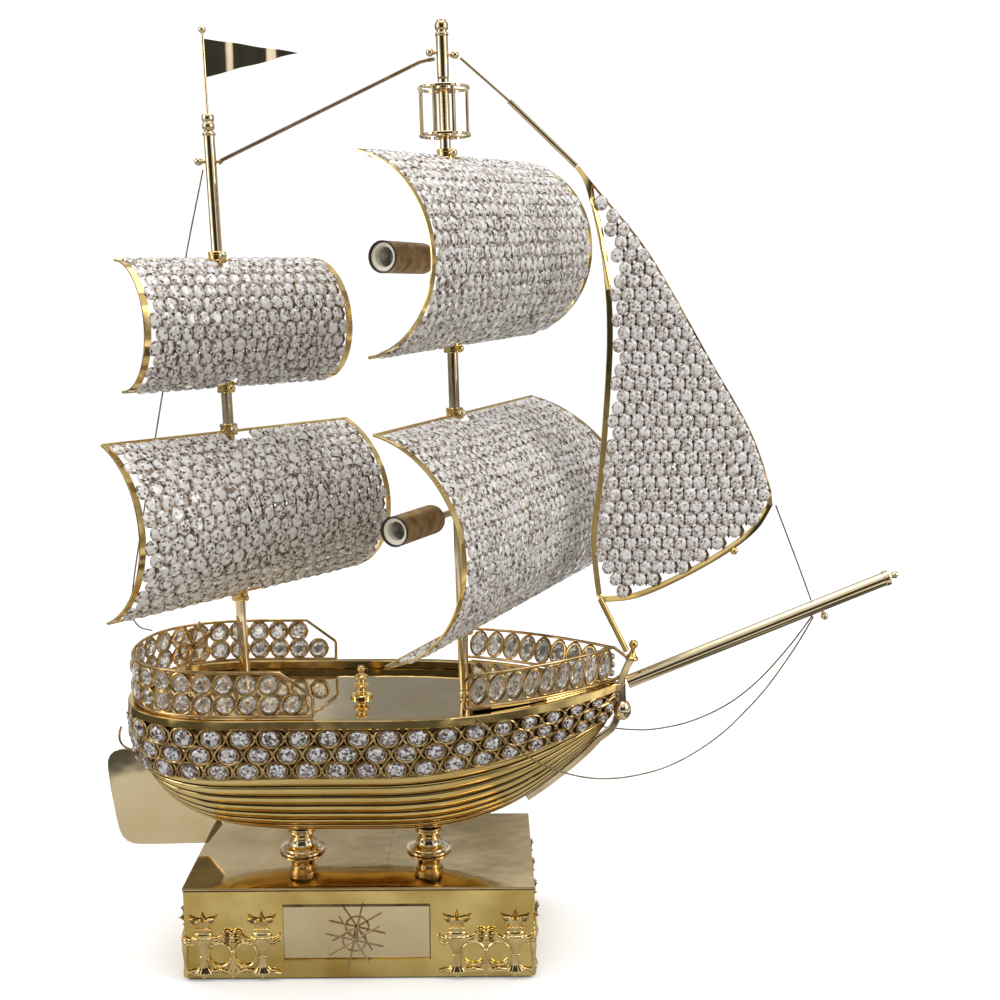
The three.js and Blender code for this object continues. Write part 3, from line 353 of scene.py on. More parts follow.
def tube(shape, path, radius, sides=12, closed=False, section=None):
    """A wire or rod along a path. radius may be a function of how far along, from 0 to 1."""
    points = [Vector(point) for point in path]
    count = len(points)
    tangents = []
    for i in range(count):
        before = points[i - 1] if closed or i > 0 else points[i]
        after = points[(i + 1) % count] if closed or i + 1 < count else points[i]
        tangents.append((after - before).normalized())
    normal = tangents[0].orthogonal().normalized()
    outline = section or [
        (math.cos(2 * math.pi * k / sides), math.sin(2 * math.pi * k / sides)) for k in range(sides)
    ]
    rings = []
    for i, tangent in enumerate(tangents):
        if i:
            normal = (tangents[i - 1].rotation_difference(tangent) @ normal).normalized()
        other = tangent.cross(normal)
        size = radius(i / (count - 1)) if callable(radius) else radius
        rings.extend(points[i] + (normal * a + other * b) * size for a, b in outline)
    if closed:
        return shape.add(rings, grid(count, len(outline), around=True, loop=True))
    return shape.add(rings, capped(count, len(outline)))


def rod(shape, start, end, radius, sides=16):
    """A straight rod with slightly eased ends."""
    length = (Vector(end) - Vector(start)).length
    ease = min(0.3, radius * 0.3)
    profile = [(0, 0), (radius - ease, 0), (radius, ease), (radius, length - ease)]
    profile += [(radius - ease, length), (0, length)]
    return lathe(shape, profile, start, end, sides)


def ball(shape, centre, radius, rings=12):
    centre = Vector(centre)
    profile = []
    for k in range(rings + 1):
        angle = math.pi * k / rings
        profile.append((radius * math.sin(angle), radius * (1 - math.cos(angle))))
    start = centre - Vector((0, 0, radius))
    return lathe(shape, profile, start, centre, 2 * rings)


def oval(shape, centre, across, up, wire, segments=20, sides=7):
    """A closed ring of wire. across and up are its half sizes as vectors."""
    out = across.cross(up).normalized()
    points = []
    for i in range(segments):
        angle = 2 * math.pi * i / segments
        place = centre + across * math.cos(angle) + up * math.sin(angle)
        side = (across * (math.cos(angle) * up.length) + up * (math.sin(angle) * across.length)).normalized()
        for k in range(sides):
            turn = 2 * math.pi * k / sides
            points.append(place + (side * math.cos(turn) + out * math.sin(turn)) * wire)
    return shape.add(points, grid(segments, sides, around=True, loop=True))


def stone(shape, centre, across, up, front, back, sides=8, tilt=5.0, double=False):
    """A cut crystal: a table, two rows of crown facets and a pavilion, or a crown on both faces."""
    out = across.cross(up).normalized()
    lean = Matrix.Rotation(math.radians(random.uniform(-tilt, tilt)), 3, across.normalized())
    lean = Matrix.Rotation(math.radians(random.uniform(-tilt, tilt)), 3, up.normalized()) @ lean
    spin = random.uniform(-0.12, 0.12)

    def level(scale, height, step):
        ring = []
        for k in range(sides):
            angle = 2 * math.pi * (k + step + 0.5) / sides + spin
            reach = across * (scale * math.cos(angle)) + up * (scale * math.sin(angle)) + out * height
            ring.append(centre + lean @ reach)
        return ring

    points = level(1, 0, 0) + level(0.80, front * 0.62, 0.5) + level(0.52, front, 0)
    faces = []
    for k in range(sides):
        n = (k + 1) % sides
        girdle, middle, table = k, sides + k, 2 * sides + k
        faces.append((girdle, n, middle))
        faces.append((middle, n, sides + n))
        faces.append((middle, sides + n, 2 * sides + n))
        faces.append((table, middle, 2 * sides + n))
        # Girdle facets draw lower glint numbers: painted shade round each stone's edge.
        shape.glints += [random.random() * limit for limit in (0.55, 0.85, 1, 1)]
    middle = len(points)
    points.append(centre + lean @ (out * front))
    for k in range(sides):
        faces.append((2 * sides + k, 2 * sides + (k + 1) % sides, middle))
    first = len(points)
    if double:
        points += level(0.55, -back, 0.5)
        for k in range(sides):
            n = (k + 1) % sides
            faces.append((n, k, first + k))
            faces.append((n, first + k, first + n))
        points.append(centre - lean @ (out * back))
        for k in range(sides):
            faces.append((first + (k + 1) % sides, first + k, first + sides))
    else:
        points.append(centre - lean @ (out * back))
        for k in range(sides):
            faces.append(((k + 1) % sides, k, first))
    shape.glints += [random.random() for _ in range(len(faces) - 4 * sides)]
    return shape.add(points, faces)


def plate(shape, outline, thickness, bevel, place):
    """A flat plate with eased edges: outline lists (a, b), and place(a, b, c) puts a point in space."""
    count = len(outline)
    middle = Vector((sum(p[0] for p in outline) / count, sum(p[1] for p in outline) / count))
    inset = []
    for i, (a, b) in enumerate(outline):
        before, after = Vector(outline[i - 1]), Vector(outline[(i + 1) % count])
        along = (after - before).normalized()
        inward = Vector((-along.y, along.x))
        if inward.dot(middle - Vector((a, b))) < 0 and count < 12:
            inward.negate()
        inset.append((a + inward.x * bevel, b + inward.y * bevel))
    half = thickness / 2
    layers = [(inset, -half), (outline, bevel - half), (outline, half - bevel), (inset, half)]
    points = [place(a, b, c) for line, c in layers for a, b in line]
    return shape.add(points, capped(4, count))


def block(shape, low, high, ease=0.5):
    """A box with eased edges."""
    centre = [(a + b) / 2 for a, b in zip(low, high)]
    half = [(b - a) / 2 for a, b in zip(low, high)]
    made = bmesh.new()
    bmesh.ops.create_cube(made, size=2)
    for vertex in made.verts:
        vertex.co = Vector([c + h * v for c, h, v in zip(centre, half, vertex.co)])
    bmesh.ops.bevel(made, geom=made.edges[:], offset=ease, segments=2, affect="EDGES")
    made.verts.index_update()
    shape.add([v.co for v in made.verts], [[v.index for v in face.verts] for face in made.faces])
    made.free()
    return shape


# ---- hull lines ----
KEEL_POINTS = [
    (-214, 203), (-203, 178), (-178, 148), (-140, 127), (-80, 117), (-20, 115.8), (40, 116), (75, 118.5),
    (108, 126), (145, 141), (182, 167), (217, 199), (232, 220), (240, 242),
]
KEEL_LINE = through([Vector((x, z, 0)) for x, z in KEEL_POINTS], 12, flat=True)
KEEL_X = [point.x for point in KEEL_LINE]
KEEL_Z = [point.y for point in KEEL_LINE]


def half_beam(x):
    if x < HULL["stern_curve"]:
        part = min(1, (HULL["stern_curve"] - x) / (HULL["stern_curve"] - HULL["stern"]))
        return HULL["half_beam"] * max(0, 1 - part**2.6) ** (1 / 2.3)
    if x > HULL["bow_curve"]:
        part = min(1, (x - HULL["bow_curve"]) / (HULL["bow"] - HULL["bow_curve"]))
        return HULL["half_beam"] * (1 - part**2.1)
    return HULL["half_beam"]


def gunwale(x):
    return 255 + 4 * (max(0, x - 50) / 190) ** 2


def keel(x):
    return float(np.interp(x, KEEL_X, KEEL_Z))


def fullness(x, z):
    depth = (gunwale(x) - z) / (gunwale(x) - keel(x))
    return (1 - min(1, max(0, depth)) ** 2.6) ** (1 / 1.7)


def outline(angle, offset=0.0, z=None):
    """A point of the plan outline moved out by offset. Angle 0 is the bow, pi the stern, port first."""
    middle = (HULL["bow"] + HULL["stern"]) / 2
    reach = (HULL["bow"] - HULL["stern"]) / 2

    def at(a):
        x = middle + reach * math.cos(a)
        side = 1 if math.sin(a) > 0 else -1
        return x, side * half_beam(x) * (1 if z is None else fullness(x, z))

    x, y = at(angle)
    xa, ya = at(angle - 0.01)
    xb, yb = at(angle + 0.01)
    length = math.hypot(xb - xa, yb - ya)
    return x + offset * (yb - ya) / length, y - offset * (xb - xa) / length


def outline_angle(x):
    middle = (HULL["bow"] + HULL["stern"]) / 2
    return math.acos((x - middle) / ((HULL["bow"] - HULL["stern"]) / 2))


def band_low(x):
    if x > 20:
        return 200 + 24 * ((x - 20) / 205) ** 1.6
    return 200 - 4 * max(0, (-60 - x) / 160)


def evenly(place, start, end, count, offset=0.0):
    """Parameters between start and end at which place(parameter) is evenly spaced."""
    samples = np.linspace(start, end, 400)
    points = np.array([tuple(place(value)) for value in samples])
    run = np.concatenate([[0], np.cumsum(np.linalg.norm(np.diff(points, axis=0), axis=1))])
    wanted = run[-1] * (np.arange(count) + 0.5 + offset) / count
    return [float(np.interp(w, run, samples)) for w in wanted if 0 <= w <= run[-1]], float(run[-1])


def side_frame(surface, u, v, du=0.004, dv=0.02):
    """Centre, unit vectors along the surface and up it."""
    centre = Vector(surface(u, v))
    across = (Vector(surface(u + du, v)) - Vector(surface(u - du, v))).normalized()
    up = Vector(surface(u, v + dv)) - Vector(surface(u, v - dv))
    up = (up - across * up.dot(across)).normalized()
    return centre, across, up


def slanted(across, up, degrees):
    """Both directions turned in their plane so that the top leans towards the bow."""
    turn = math.radians(degrees) * (1 if across.x > 0 else -1)
    return across * math.cos(turn) - up * math.sin(turn), up * math.cos(turn) + across * math.sin(turn)


# ---- base ----
def make_base():
    half = (BASE["length"] / 2, BASE["width"] / 2)
    wall = BASE["wall"]
    low, top = BASE["bottom"], BASE["top"]
    box = Shape()
    edges = (WINDOW["x"] - WINDOW["width"] / 2, WINDOW["x"] + WINDOW["width"] / 2)
    front = -half[1]
    block(box, (-half[0], front, low), (edges[0], front + wall, top), 0.4)
    block(box, (edges[1], front, low), (half[0], front + wall, top), 0.4)
    block(box, (edges[0] - 0.6, front + 0.02, WINDOW["high"]), (edges[1] + 0.6, front + wall, top), 0.35)
    block(box, (edges[0] - 0.6, front + 0.02, low), (edges[1] + 0.6, front + wall, WINDOW["low"]), 0.35)
    block(box, (-half[0], -front - wall, low), (half[0], -front, top), 0.4)
    for side in (-1, 1):
        inner, outer = sorted((side * (half[0] - wall), side * half[0]))
        block(box, (inner, front + 0.02, low), (outer, -front - 0.02, top), 0.5)
    piece("base_sheet", box, "base_brass", replaces=["base_box"])

    lid = Shape()
    rim = [value + BASE["lip"] for value in half]
    block(lid, (-rim[0], -rim[1], top + GAP), (rim[0], rim[1], top + GAP + BASE["plate"]), 0.7)
    piece("top_plate", lid, "plate_brass", replaces=["base_top_plate"])

    seam = Shape()
    lap = 6
    low_corner = (edges[0] - lap, front + wall + GAP, WINDOW["low"] - lap)
    block(seam, low_corner, (edges[1] + lap, front + wall + 1.7, WINDOW["high"] + lap), 0.3)
    piece("recessed_panel", seam, "mirror_brass", replaces=["front_panel"])

    # Near-black strips: painted shadow under the top plate's lip, painted shade in the window's recess, and
    # the top plate's seam.
    shade = Shape()
    ledge = top - 1.3
    out = 0.16
    # A band round the walls under the lip: painted shadow.
    block(shade, (-half[0] - out, front - out, ledge), (half[0] + out, front + 0.3, top + 0.2), 0.05)
    block(shade, (-half[0] - out, -front - 0.3, ledge), (half[0] + out, -front + out, top + 0.2), 0.05)
    for side in (-1, 1):
        inner, outer = sorted((side * (half[0] - 0.3), side * (half[0] + out)))
        block(shade, (inner, front + 0.31, ledge), (outer, -front - 0.31, top + 0.2), 0.05)
    deep = front + wall + 0.2
    # Along the window's top edge: painted shade in the recess.
    block(shade, (edges[0], front + 0.1, WINDOW["high"] - 2.4), (edges[1], deep, WINDOW["high"] + 0.1), 0.05)
    # A dark line across the top plate: its seam.
    face = top + GAP + BASE["plate"]
    block(shade, (22.85, -half[1], face - 0.2), (23.2, half[1], face + 0.05), 0.02)
    # Down the window's right edge: painted shade in the recess.
    low_corner = (edges[1] - 0.9, front + 0.1, WINDOW["low"])
    block(shade, low_corner, (edges[1] + 0.1, deep, WINDOW["high"] - 1.95), 0.05)
    piece("painted_shade_and_plate_seam", shade, "painted_shade_and_seam_brass")

    grommet = Shape()
    start = (40, half[1] + GAP + 2, 24)
    profile = [(3.2, 0), (6.2, 0), (7, 0.8), (6.8, 2), (4.7, 2.1), (4.7, 4.6), (7, 4.8), (6.4, 6.4),
               (3.2, 6.5), (3.2, 0)]
    lathe(grommet, profile, start, (40, 0, 24), 36)
    piece("cord_bush", grommet, "black_plastic", replaces=["cord_grommet"])


def make_emblem():
    x, z = WINDOW["x"] - 1.2, 44.5
    front = -BASE["width"] / 2 - 9.5
    wheel = Shape()
    oval(wheel, Vector((x, front, z)), Vector((10.6, 0, 0)), Vector((0, 0, 10.6)), 0.9, 48, 10)
    rod(wheel, (x, front - 1.5, z), (x, BASE["wall"] - BASE["width"] / 2, z), 2.2, 20)
    for i in range(4):
        angle = math.radians(77 - 45.5 * i)
        dx, dz = 27 * math.cos(angle), 27 * math.sin(angle)
        y = front - 0.7 + 0.45 * i
        rod(wheel, (x - dx, y, z - dz), (x + dx, y, z + dz), 0.85, 12)
    # The wheel takes the darker tan brass: painted shade on the wheel.
    piece("emblem_rods", wheel, "tan_brass", replaces=["emblem_wheel"])


# ---- corner castings ----
def scroll(place, points, radius, shape):
    """A tapering raised line through flat points (along, height), lying half sunk in the wall."""
    line = through([Vector((a, b, 0)) for a, b in points], 7)
    tube(shape, [place(p.x, p.y, 1.5) for p in line], lambda t: radius * (1 - 0.55 * t), 9)


def leaf(place, root, tip, width, shape):
    """A pointed leaf that curls away from the wall."""
    root, tip = Vector(root), Vector(tip)
    along = tip - root
    side = Vector((-along.y, along.x)).normalized()
    rows = []
    for i in range(9):
        t = i / 8
        half_width = width * math.sin(math.pi * (0.12 + 0.88 * t) ** 0.8) * (1 - t) ** 0.35
        lift = 1.0 + 2.6 * t * t
        for k in range(5):
            s = (k - 2) / 2
            point = root + along * t + side * (half_width * s)
            rows.append(place(point.x, point.y, lift + 1.3 * (1 - s * s)))
        for k in range(5):
            s = (2 - k) / 2
            point = root + along * t + side * (half_width * s)
            rows.append(place(point.x, point.y, lift - 0.8))
    shape.add(rows, capped(9, 10))


def relief(place, profile, middle, shape, flutes=0):
    """Half a turned form, standing on the wall at middle: profile lists (radius, height)."""
    sides = 36
    points = []
    for radius, height in profile:
        for k in range(sides + 1):
            angle = math.pi * k / sides
            groove = 1 - 0.09 * (0.5 - 0.5 * math.cos(2 * flutes * angle)) if flutes else 1
            points.append(place(middle + radius * groove * math.cos(angle), height,
                                radius * groove * 0.42 * math.sin(angle)))
    shape.add(points, grid(len(profile), sides + 1, around=True))


FOOT = rounded([(0, 5.0), (10.4, 6.2), (10.2, 8.4), (7.2, 11.4), (4.6, 15), (3.4, 19), (3.3, 21.4)], 3)
BEAD = rounded([(2.6, 21), (4.3, 22), (4.3, 23.6), (2.8, 24.6)], 3)
CUP = rounded([
    (3.2, 24), (4.4, 28), (7.0, 33), (10.0, 37.6), (11.8, 41), (10.8, 43.2), (5.2, 44.4), (0, 44.6),
], 3)
DOME = rounded([
    (8.2, 43.4), (8.6, 45.2), (7.0, 47.6), (5.2, 48.4), (7.2, 49.2), (7.5, 50.8), (5.4, 51.8), (0, 52),
], 3)
CROWN = rounded([(5.0, 51), (5.4, 53), (7.4, 56.6), (10.2, 59.6), (9.6, 60.4), (0, 61)], 3)


def vase(place, middle, shape, dark):
    """A fluted cup on a bell foot, closed by a dome and crowned by three leaves."""
    ball(shape, place(middle, 4.0, 1.2), 2.1, 8)
    relief(place, FOOT, middle, shape, 7)
    relief(place, BEAD, middle, shape)
    relief(place, CUP, middle, shape, 6)
    relief(place, DOME, middle, shape)
    relief(place, CROWN, middle, shape, 5)
    for k in range(5):
        ball(shape, place(middle + 2.6 * (k - 2), 51.6, 2.3), 0.95, 6)
    for k in (-1, 0, 1):
        ball(shape, place(middle + 4.2 * k, 45.4, 2.2 - 0.4 * abs(k)), 1.5, 6)
    for (x0, z0), (x1, z1), width in (
        ((0, 56), (0, 67.5), 3.6), ((-3.6, 57.6), (-13.4, 63), 3.7), ((3.6, 57.6), (13.4, 63), 3.7),
    ):
        leaf(place, (middle + x0, z0), (middle + x1, z1), width, shape)
        # A smaller dark leaf on each leaf's face: painted shade on the leaf.
        leaf(
            lambda a, b, c: place(a, b, c + 1.2), (middle + 0.72 * x0 + 0.28 * x1, 0.72 * z0 + 0.28 * z1),
            (middle + 0.14 * x0 + 0.86 * x1, 0.14 * z0 + 0.86 * z1), width * 0.62, dark,
        )


def loop_ring(place, middle, height, radius, wire, shape):
    ring = []
    for k in range(40):
        angle = 2 * math.pi * k / 40
        ring.append(place(middle + radius * math.cos(angle), height + radius * 1.08 * math.sin(angle), wire))
    tube(shape, ring, wire, 9, closed=True)


def casting_leg(place, length, shape, dark):
    """One wall's half of a corner casting: two vases with rings, scrolls and a flower between them."""
    near, far = 0.19 * length, 0.8 * length
    heart = (near + far) / 2
    gap = (far - near) / 2
    loop = (gap - 5.4) / 2
    for middle in (near, far):
        vase(place, middle, shape, dark)
        for side in (-1, 1):
            start = middle + side * 7.5
            reach = min(gap * 0.42, length - far - 7.6 if middle == far and side > 0 else gap)
            for lift, size in ((0, 1.35), (2.5, 1.2), (5.0, 1.0)):
                scroll(place, [
                    (start, 37.5 + lift * 0.7), (start + side * reach * 0.4, 36 + lift),
                    (start + side * reach * 0.8, 38.5 + lift), (start + side * reach, 42 + lift * 0.7),
                    (start + side * reach * 0.8, 43.2 + lift * 0.5),
                ], size, shape)
    for middle in (near + 4.4 + loop, far - 4.4 - loop):
        loop_ring(place, middle, 26, loop, 1.35, shape)
        ball(shape, place(middle, 11.2, 1.4), 1.9, 8)
        ball(shape, place(middle - 2.6, 10.6, 1.2), 1.3, 6)
        ball(shape, place(middle + 2.6, 10.6, 1.2), 1.3, 6)
    stem = [(0, 5.4)] + rounded([(8.2, 6.4), (7.6, 8.4), (4.8, 13), (2.6, 20), (1.8, 27)], 3)
    relief(place, stem, heart, shape, 5)
    ball(shape, place(heart, 29, 1.6), 2.3, 8)
    relief(place, rounded([(1.8, 30), (2.6, 33), (5.2, 38), (3.4, 39.6), (0, 40)], 3), heart, shape, 4)
    for side in (-1, 1):
        for lift in (0, 5.6):
            petal = []
            for k in range(20):
                angle = 2 * math.pi * k / 20
                across = side * (4.3 + 3.4 * math.cos(angle))
                height = 40.8 + lift + 2.5 * math.sin(angle) + 0.25 * abs(across)
                petal.append(place(heart + across, height, 2.0))
            tube(shape, petal, 1.05, 8, closed=True)
        scroll(place, [(heart + side * 3, 31), (heart + side * 7.4, 36), (heart + side * 9, 41)], 1.1, shape)
    ball(shape, place(heart, 43.6, 2.2), 1.9, 8)
    ball(shape, place(heart, 4.4, 1.2), 1.8, 8)
    for start, end in ((0.5, near), (near, heart), (heart, far), (far, length - 0.5)):
        middle = (start + end) / 2
        scroll(place, [(start, 8.4), (middle, 10.6), (end, 8.4)], 1.25, shape)
        scroll(place, [(end, 7.2), (middle, 8.6), (start, 7.2)], 1.0, shape)


def make_castings():
    for x_name, x_side in (("stern", -1), ("bow", 1)):
        for y_name, y_side in (("port", 1), ("starboard", -1)):
            casting, dark = Shape(), Shape()

            def front(along, height, out, x_side=x_side, y_side=y_side):
                wall = BASE["width"] / 2 + GAP
                return x_side * (BASE["length"] / 2 - along), y_side * (wall + max(0, out)), height

            def side(along, height, out, x_side=x_side, y_side=y_side):
                wall = BASE["length"] / 2 + GAP
                return x_side * (wall + max(0, out)), y_side * (BASE["width"] / 2 - along), height

            casting_leg(front, 88, casting, dark)
            casting_leg(side, 70, casting, dark)
            corner = front(0, 0, 0)
            post = rounded([
                (0, 3.6), (2.2, 4.2), (2.6, 8), (1.7, 16), (2.4, 26), (3.0, 34), (1.6, 40), (0, 41),
            ], 3)
            lathe(casting, post, (corner[0], corner[1], 0), (corner[0], corner[1], 1), 16)
            node = f"corner_casting_{x_name}_{y_name}"
            piece(f"filigree_{x_name}_{y_name}", casting, "cast_brass", replaces=[node])
            # The dark leaves are painted shade.
            piece(f"leaf_painted_shade_{x_name}_{y_name}", dark, "painted_shade_and_seam_brass")


def make_pedestals():
    bottom = BASE["top"] + BASE["plate"] + 2 * GAP
    bore = 5.6
    profile = [(bore, 0)] + rounded([
        (21.2, 0.05), (22, 0.8), (21.8, 2.2), (18.8, 3.1), (17.9, 4.4), (15.6, 5.4), (13.1, 7.6),
        (11.9, 10.4),
        (11.2, 13.4), (11.6, 16.6), (13.0, 18.4), (14.3, 20.2), (14.2, 21.6), (12.9, 22.5),
        (13.8, 23.4), (13.7, 24.3),
    ], 4) + [(bore, PEDESTAL_HEIGHT), (bore, 0)]
    for name, x in PEDESTALS.items():
        foot = Shape()
        lathe(foot, profile, (x, 0, bottom), (x, 0, bottom + 1), 72)
        stood_for = [f"pedestal_{name}"]
        piece(f"turned_pedestal_{name}", foot, "pale_brass", replaces=stood_for)


# ---- hull ----
def make_hull():
    strakes, per_strake, upper = 9, 7, 8
    stations = 110
    rows = []
    for i in range(stations + 1):
        x = HULL["stern"] + (HULL["bow"] - HULL["stern"]) * (1 - math.cos(math.pi * i / stations)) / 2
        beam = half_beam(x)
        low, rim = keel(x), gunwale(x) - 8 - GAP
        seam = min(max(band_low(x), low + 4), rim - 2)
        levels = []
        for k in range(strakes * per_strake + 1):
            part = k / (strakes * per_strake)
            wave = abs(math.sin(math.pi * part * strakes)) ** 0.55
            levels.append((low + (seam - low) * part**1.25, 2.9 * (wave - 1)))
        levels += [(seam + (rim - seam) * k / upper, -0.6) for k in range(1, upper + 1)]
        half = [(beam * fullness(x, z) + depth, z) for z, depth in levels]
        half = [(max(0.0, y), z) for y, z in half]
        half[0] = (0.0, levels[0][0])
        if i in (0, stations):
            half = [(0.0, z) for y, z in half]
        inner = [(max(0.0, y - HULL["wall"]), z + (2.2 if k == 0 else 0)) for k, (y, z) in enumerate(half)]
        ring = [(x, y, z) for y, z in half] + [(x, y, z) for y, z in reversed(inner)]
        ring += [(x, -y, z) for y, z in inner] + [(x, -y, z) for y, z in reversed(half)]
        rows.append(ring)
    skin = Shape()
    count = len(rows[0])
    skin.add([point for ring in rows for point in ring], grid(len(rows), count, around=True))
    piece("ribbed_hull", skin, "hull_brass", replaces=["hull_shell"], sharp=50)

    # Near-black lines in the grooves between the strakes: painted shade in the grooves.
    groove_shade_lines = Shape()
    for k in range(1, strakes + 1):
        for side in (-1, 1):
            line = []
            for i in range(4, stations - 3):
                x, y, z = rows[i][k * per_strake]
                line.append((x, side * max(0.4, y + 0.45), z))
            tube(groove_shade_lines, line, 1.0, 6)
    piece("strake_groove_shade", groove_shade_lines, "groove_shade_brass")

    rail = Shape()
    steps = 200
    section = [(4.6, -7.4), (4.6, -0.6), (4.0, 0), (-2.6, 0), (-3.2, -0.6), (-3.2, -7.4), (-2.6, -8),
               (4.0, -8)]
    points = []
    for i in range(steps):
        angle = 2 * math.pi * i / steps + 0.001
        for offset, rise in section:
            x, y = outline(angle, offset)
            points.append((x, y, gunwale(min(HULL["bow"], x)) + rise))
    rail.add(points, grid(steps, len(section), around=True, loop=True))
    piece("gunwale_band", rail, "polished_brass", replaces=["gunwale"], sharp=40)


def band_surface(offset):
    def surface(u, v):
        x = outline(u)[0]
        z = max(band_low(x), keel(x) + 4) * (1 - v) + (gunwale(x) - 8.6) * v
        return (*outline(u, offset, z), z)
    return surface


def make_hull_crystals():
    """Three staggered rows of oval crystals, each in a ring, with small balls where neighbouring rings meet.
    """
    surface = band_surface(3.0)
    wires, stones = Shape(), Shape()
    for row in range(3):
        v = (row + 0.5) / 3
        start, offset = 0.09, 0.0 if row % 2 else 0.5
        cells, run = evenly(lambda u: surface(u, v), start, 2 * math.pi - start, BAND_CELLS, offset)
        pitch = run / BAND_CELLS
        for u in cells:
            centre, across, up = side_frame(surface, u, v)
            height = (Vector(surface(u, v + 1 / 6)) - Vector(surface(u, v - 1 / 6))).length / 2
            a, b = pitch / 2 - 0.5, height * 1.12
            oval(wires, centre, across * a, up * b, 1.05, 28, 8)
            out = across.cross(up)
            wide, tall = min(a * 0.66, b * 0.98), b * 0.86
            oval(wires, centre + out * 0.9, across * (wide + 0.7), up * (tall + 0.5), 0.8, 24, 7)
            stone(stones, centre + out * 1.0, across * wide, up * tall, 2.6, 2.4, 10, 4)
            for turn in (-1, 1):
                corner = centre + across * (a * turn)
                ball(wires, corner, 1.35, 5)
    piece("hull_ring_wires", wires, "thin_brass", replaces=["hull_crystal_band"])
    piece("hull_stones", stones, "hull_crystal", sharp=0)

    # A dark sheet just off the hull behind the crystals: painted shade behind and between the stones.
    shade_sheet = Shape()
    skin = band_surface(0.7)
    steps, levels = 180, 5
    rows = []
    for i in range(steps + 1):
        u = 0.07 + (2 * math.pi - 0.14) * i / steps
        rows += [skin(u, k / (levels - 1)) for k in range(levels)]
    shade_sheet.add(rows, grid(steps + 1, levels))
    piece("band_painted_shade", shade_sheet, "painted_shade_and_seam_brass")


# ---- deck rails ----
def make_aft_rail():
    end, shoulder = outline_angle(AFT_RAIL["end"]), outline_angle(AFT_RAIL["shoulder"])
    top_z, low_z, post = AFT_RAIL["top"], AFT_RAIL["low"], AFT_RAIL["post"]

    def at(angle, z):
        return Vector((*outline(angle, RAIL_INSET), z))

    def run(start, count, z):
        return [at(start + (2 * math.pi - 2 * start) * i / count, z) for i in range(count + 1)]

    rails = Shape()
    top = [at(end, low_z), at(end, post - 2), at(end + 0.004, post)]
    top += run(shoulder, 90, top_z)
    last = 2 * math.pi - end
    top += [at(last - 0.004, post), at(last, post - 2), at(last, low_z)]
    tube(rails, top, RAIL_RADIUS, 12)
    tube(rails, run(end, 110, low_z), RAIL_RADIUS, 12)

    stones = Shape()
    floor, height = low_z + RAIL_RADIUS, top_z - low_z - 2 * RAIL_RADIUS
    for row in range(2):
        z = floor + height * (0.26 if row == 0 else 0.74)
        start = end + 0.035 if row == 0 else outline_angle(AFT_RAIL["shoulder"] + 3) + 0.01
        count = AFT_CELLS[row]
        cells, length = evenly(lambda a: at(a, z), start, 2 * math.pi - start, count)
        pitch = length / count
        for angle in cells:
            centre, across, up = side_frame(lambda u, v: at(u, z + 10 * v), angle, 0)
            oval(rails, centre, across * (pitch / 2 - 0.5), up * (height / 4 + 0.6), 1.0, 28, 8)
            short, long = slanted(across, up, 38)
            oval(rails, centre, short * 7.7, long * 9.2, 0.8, 26, 6)
            stone(stones, centre, short * 7.2, long * 8.7, 2.7, 2.7, 10, 4, double=True)
            for side in (-1, 1):
                ball(rails, centre + across * (side * pitch / 2), 1.2, 5)
                near, far = side * 8.3, side * (pitch / 2 - 0.4)
                rod(rails, centre + across * near, centre + across * far, 0.5, 6)
    piece("aft_rail_wires", rails, "thin_brass", replaces=["aft_rail"])
    piece("aft_rail_stones", stones, "rail_crystal", replaces=["aft_rail_crystals"], sharp=0)


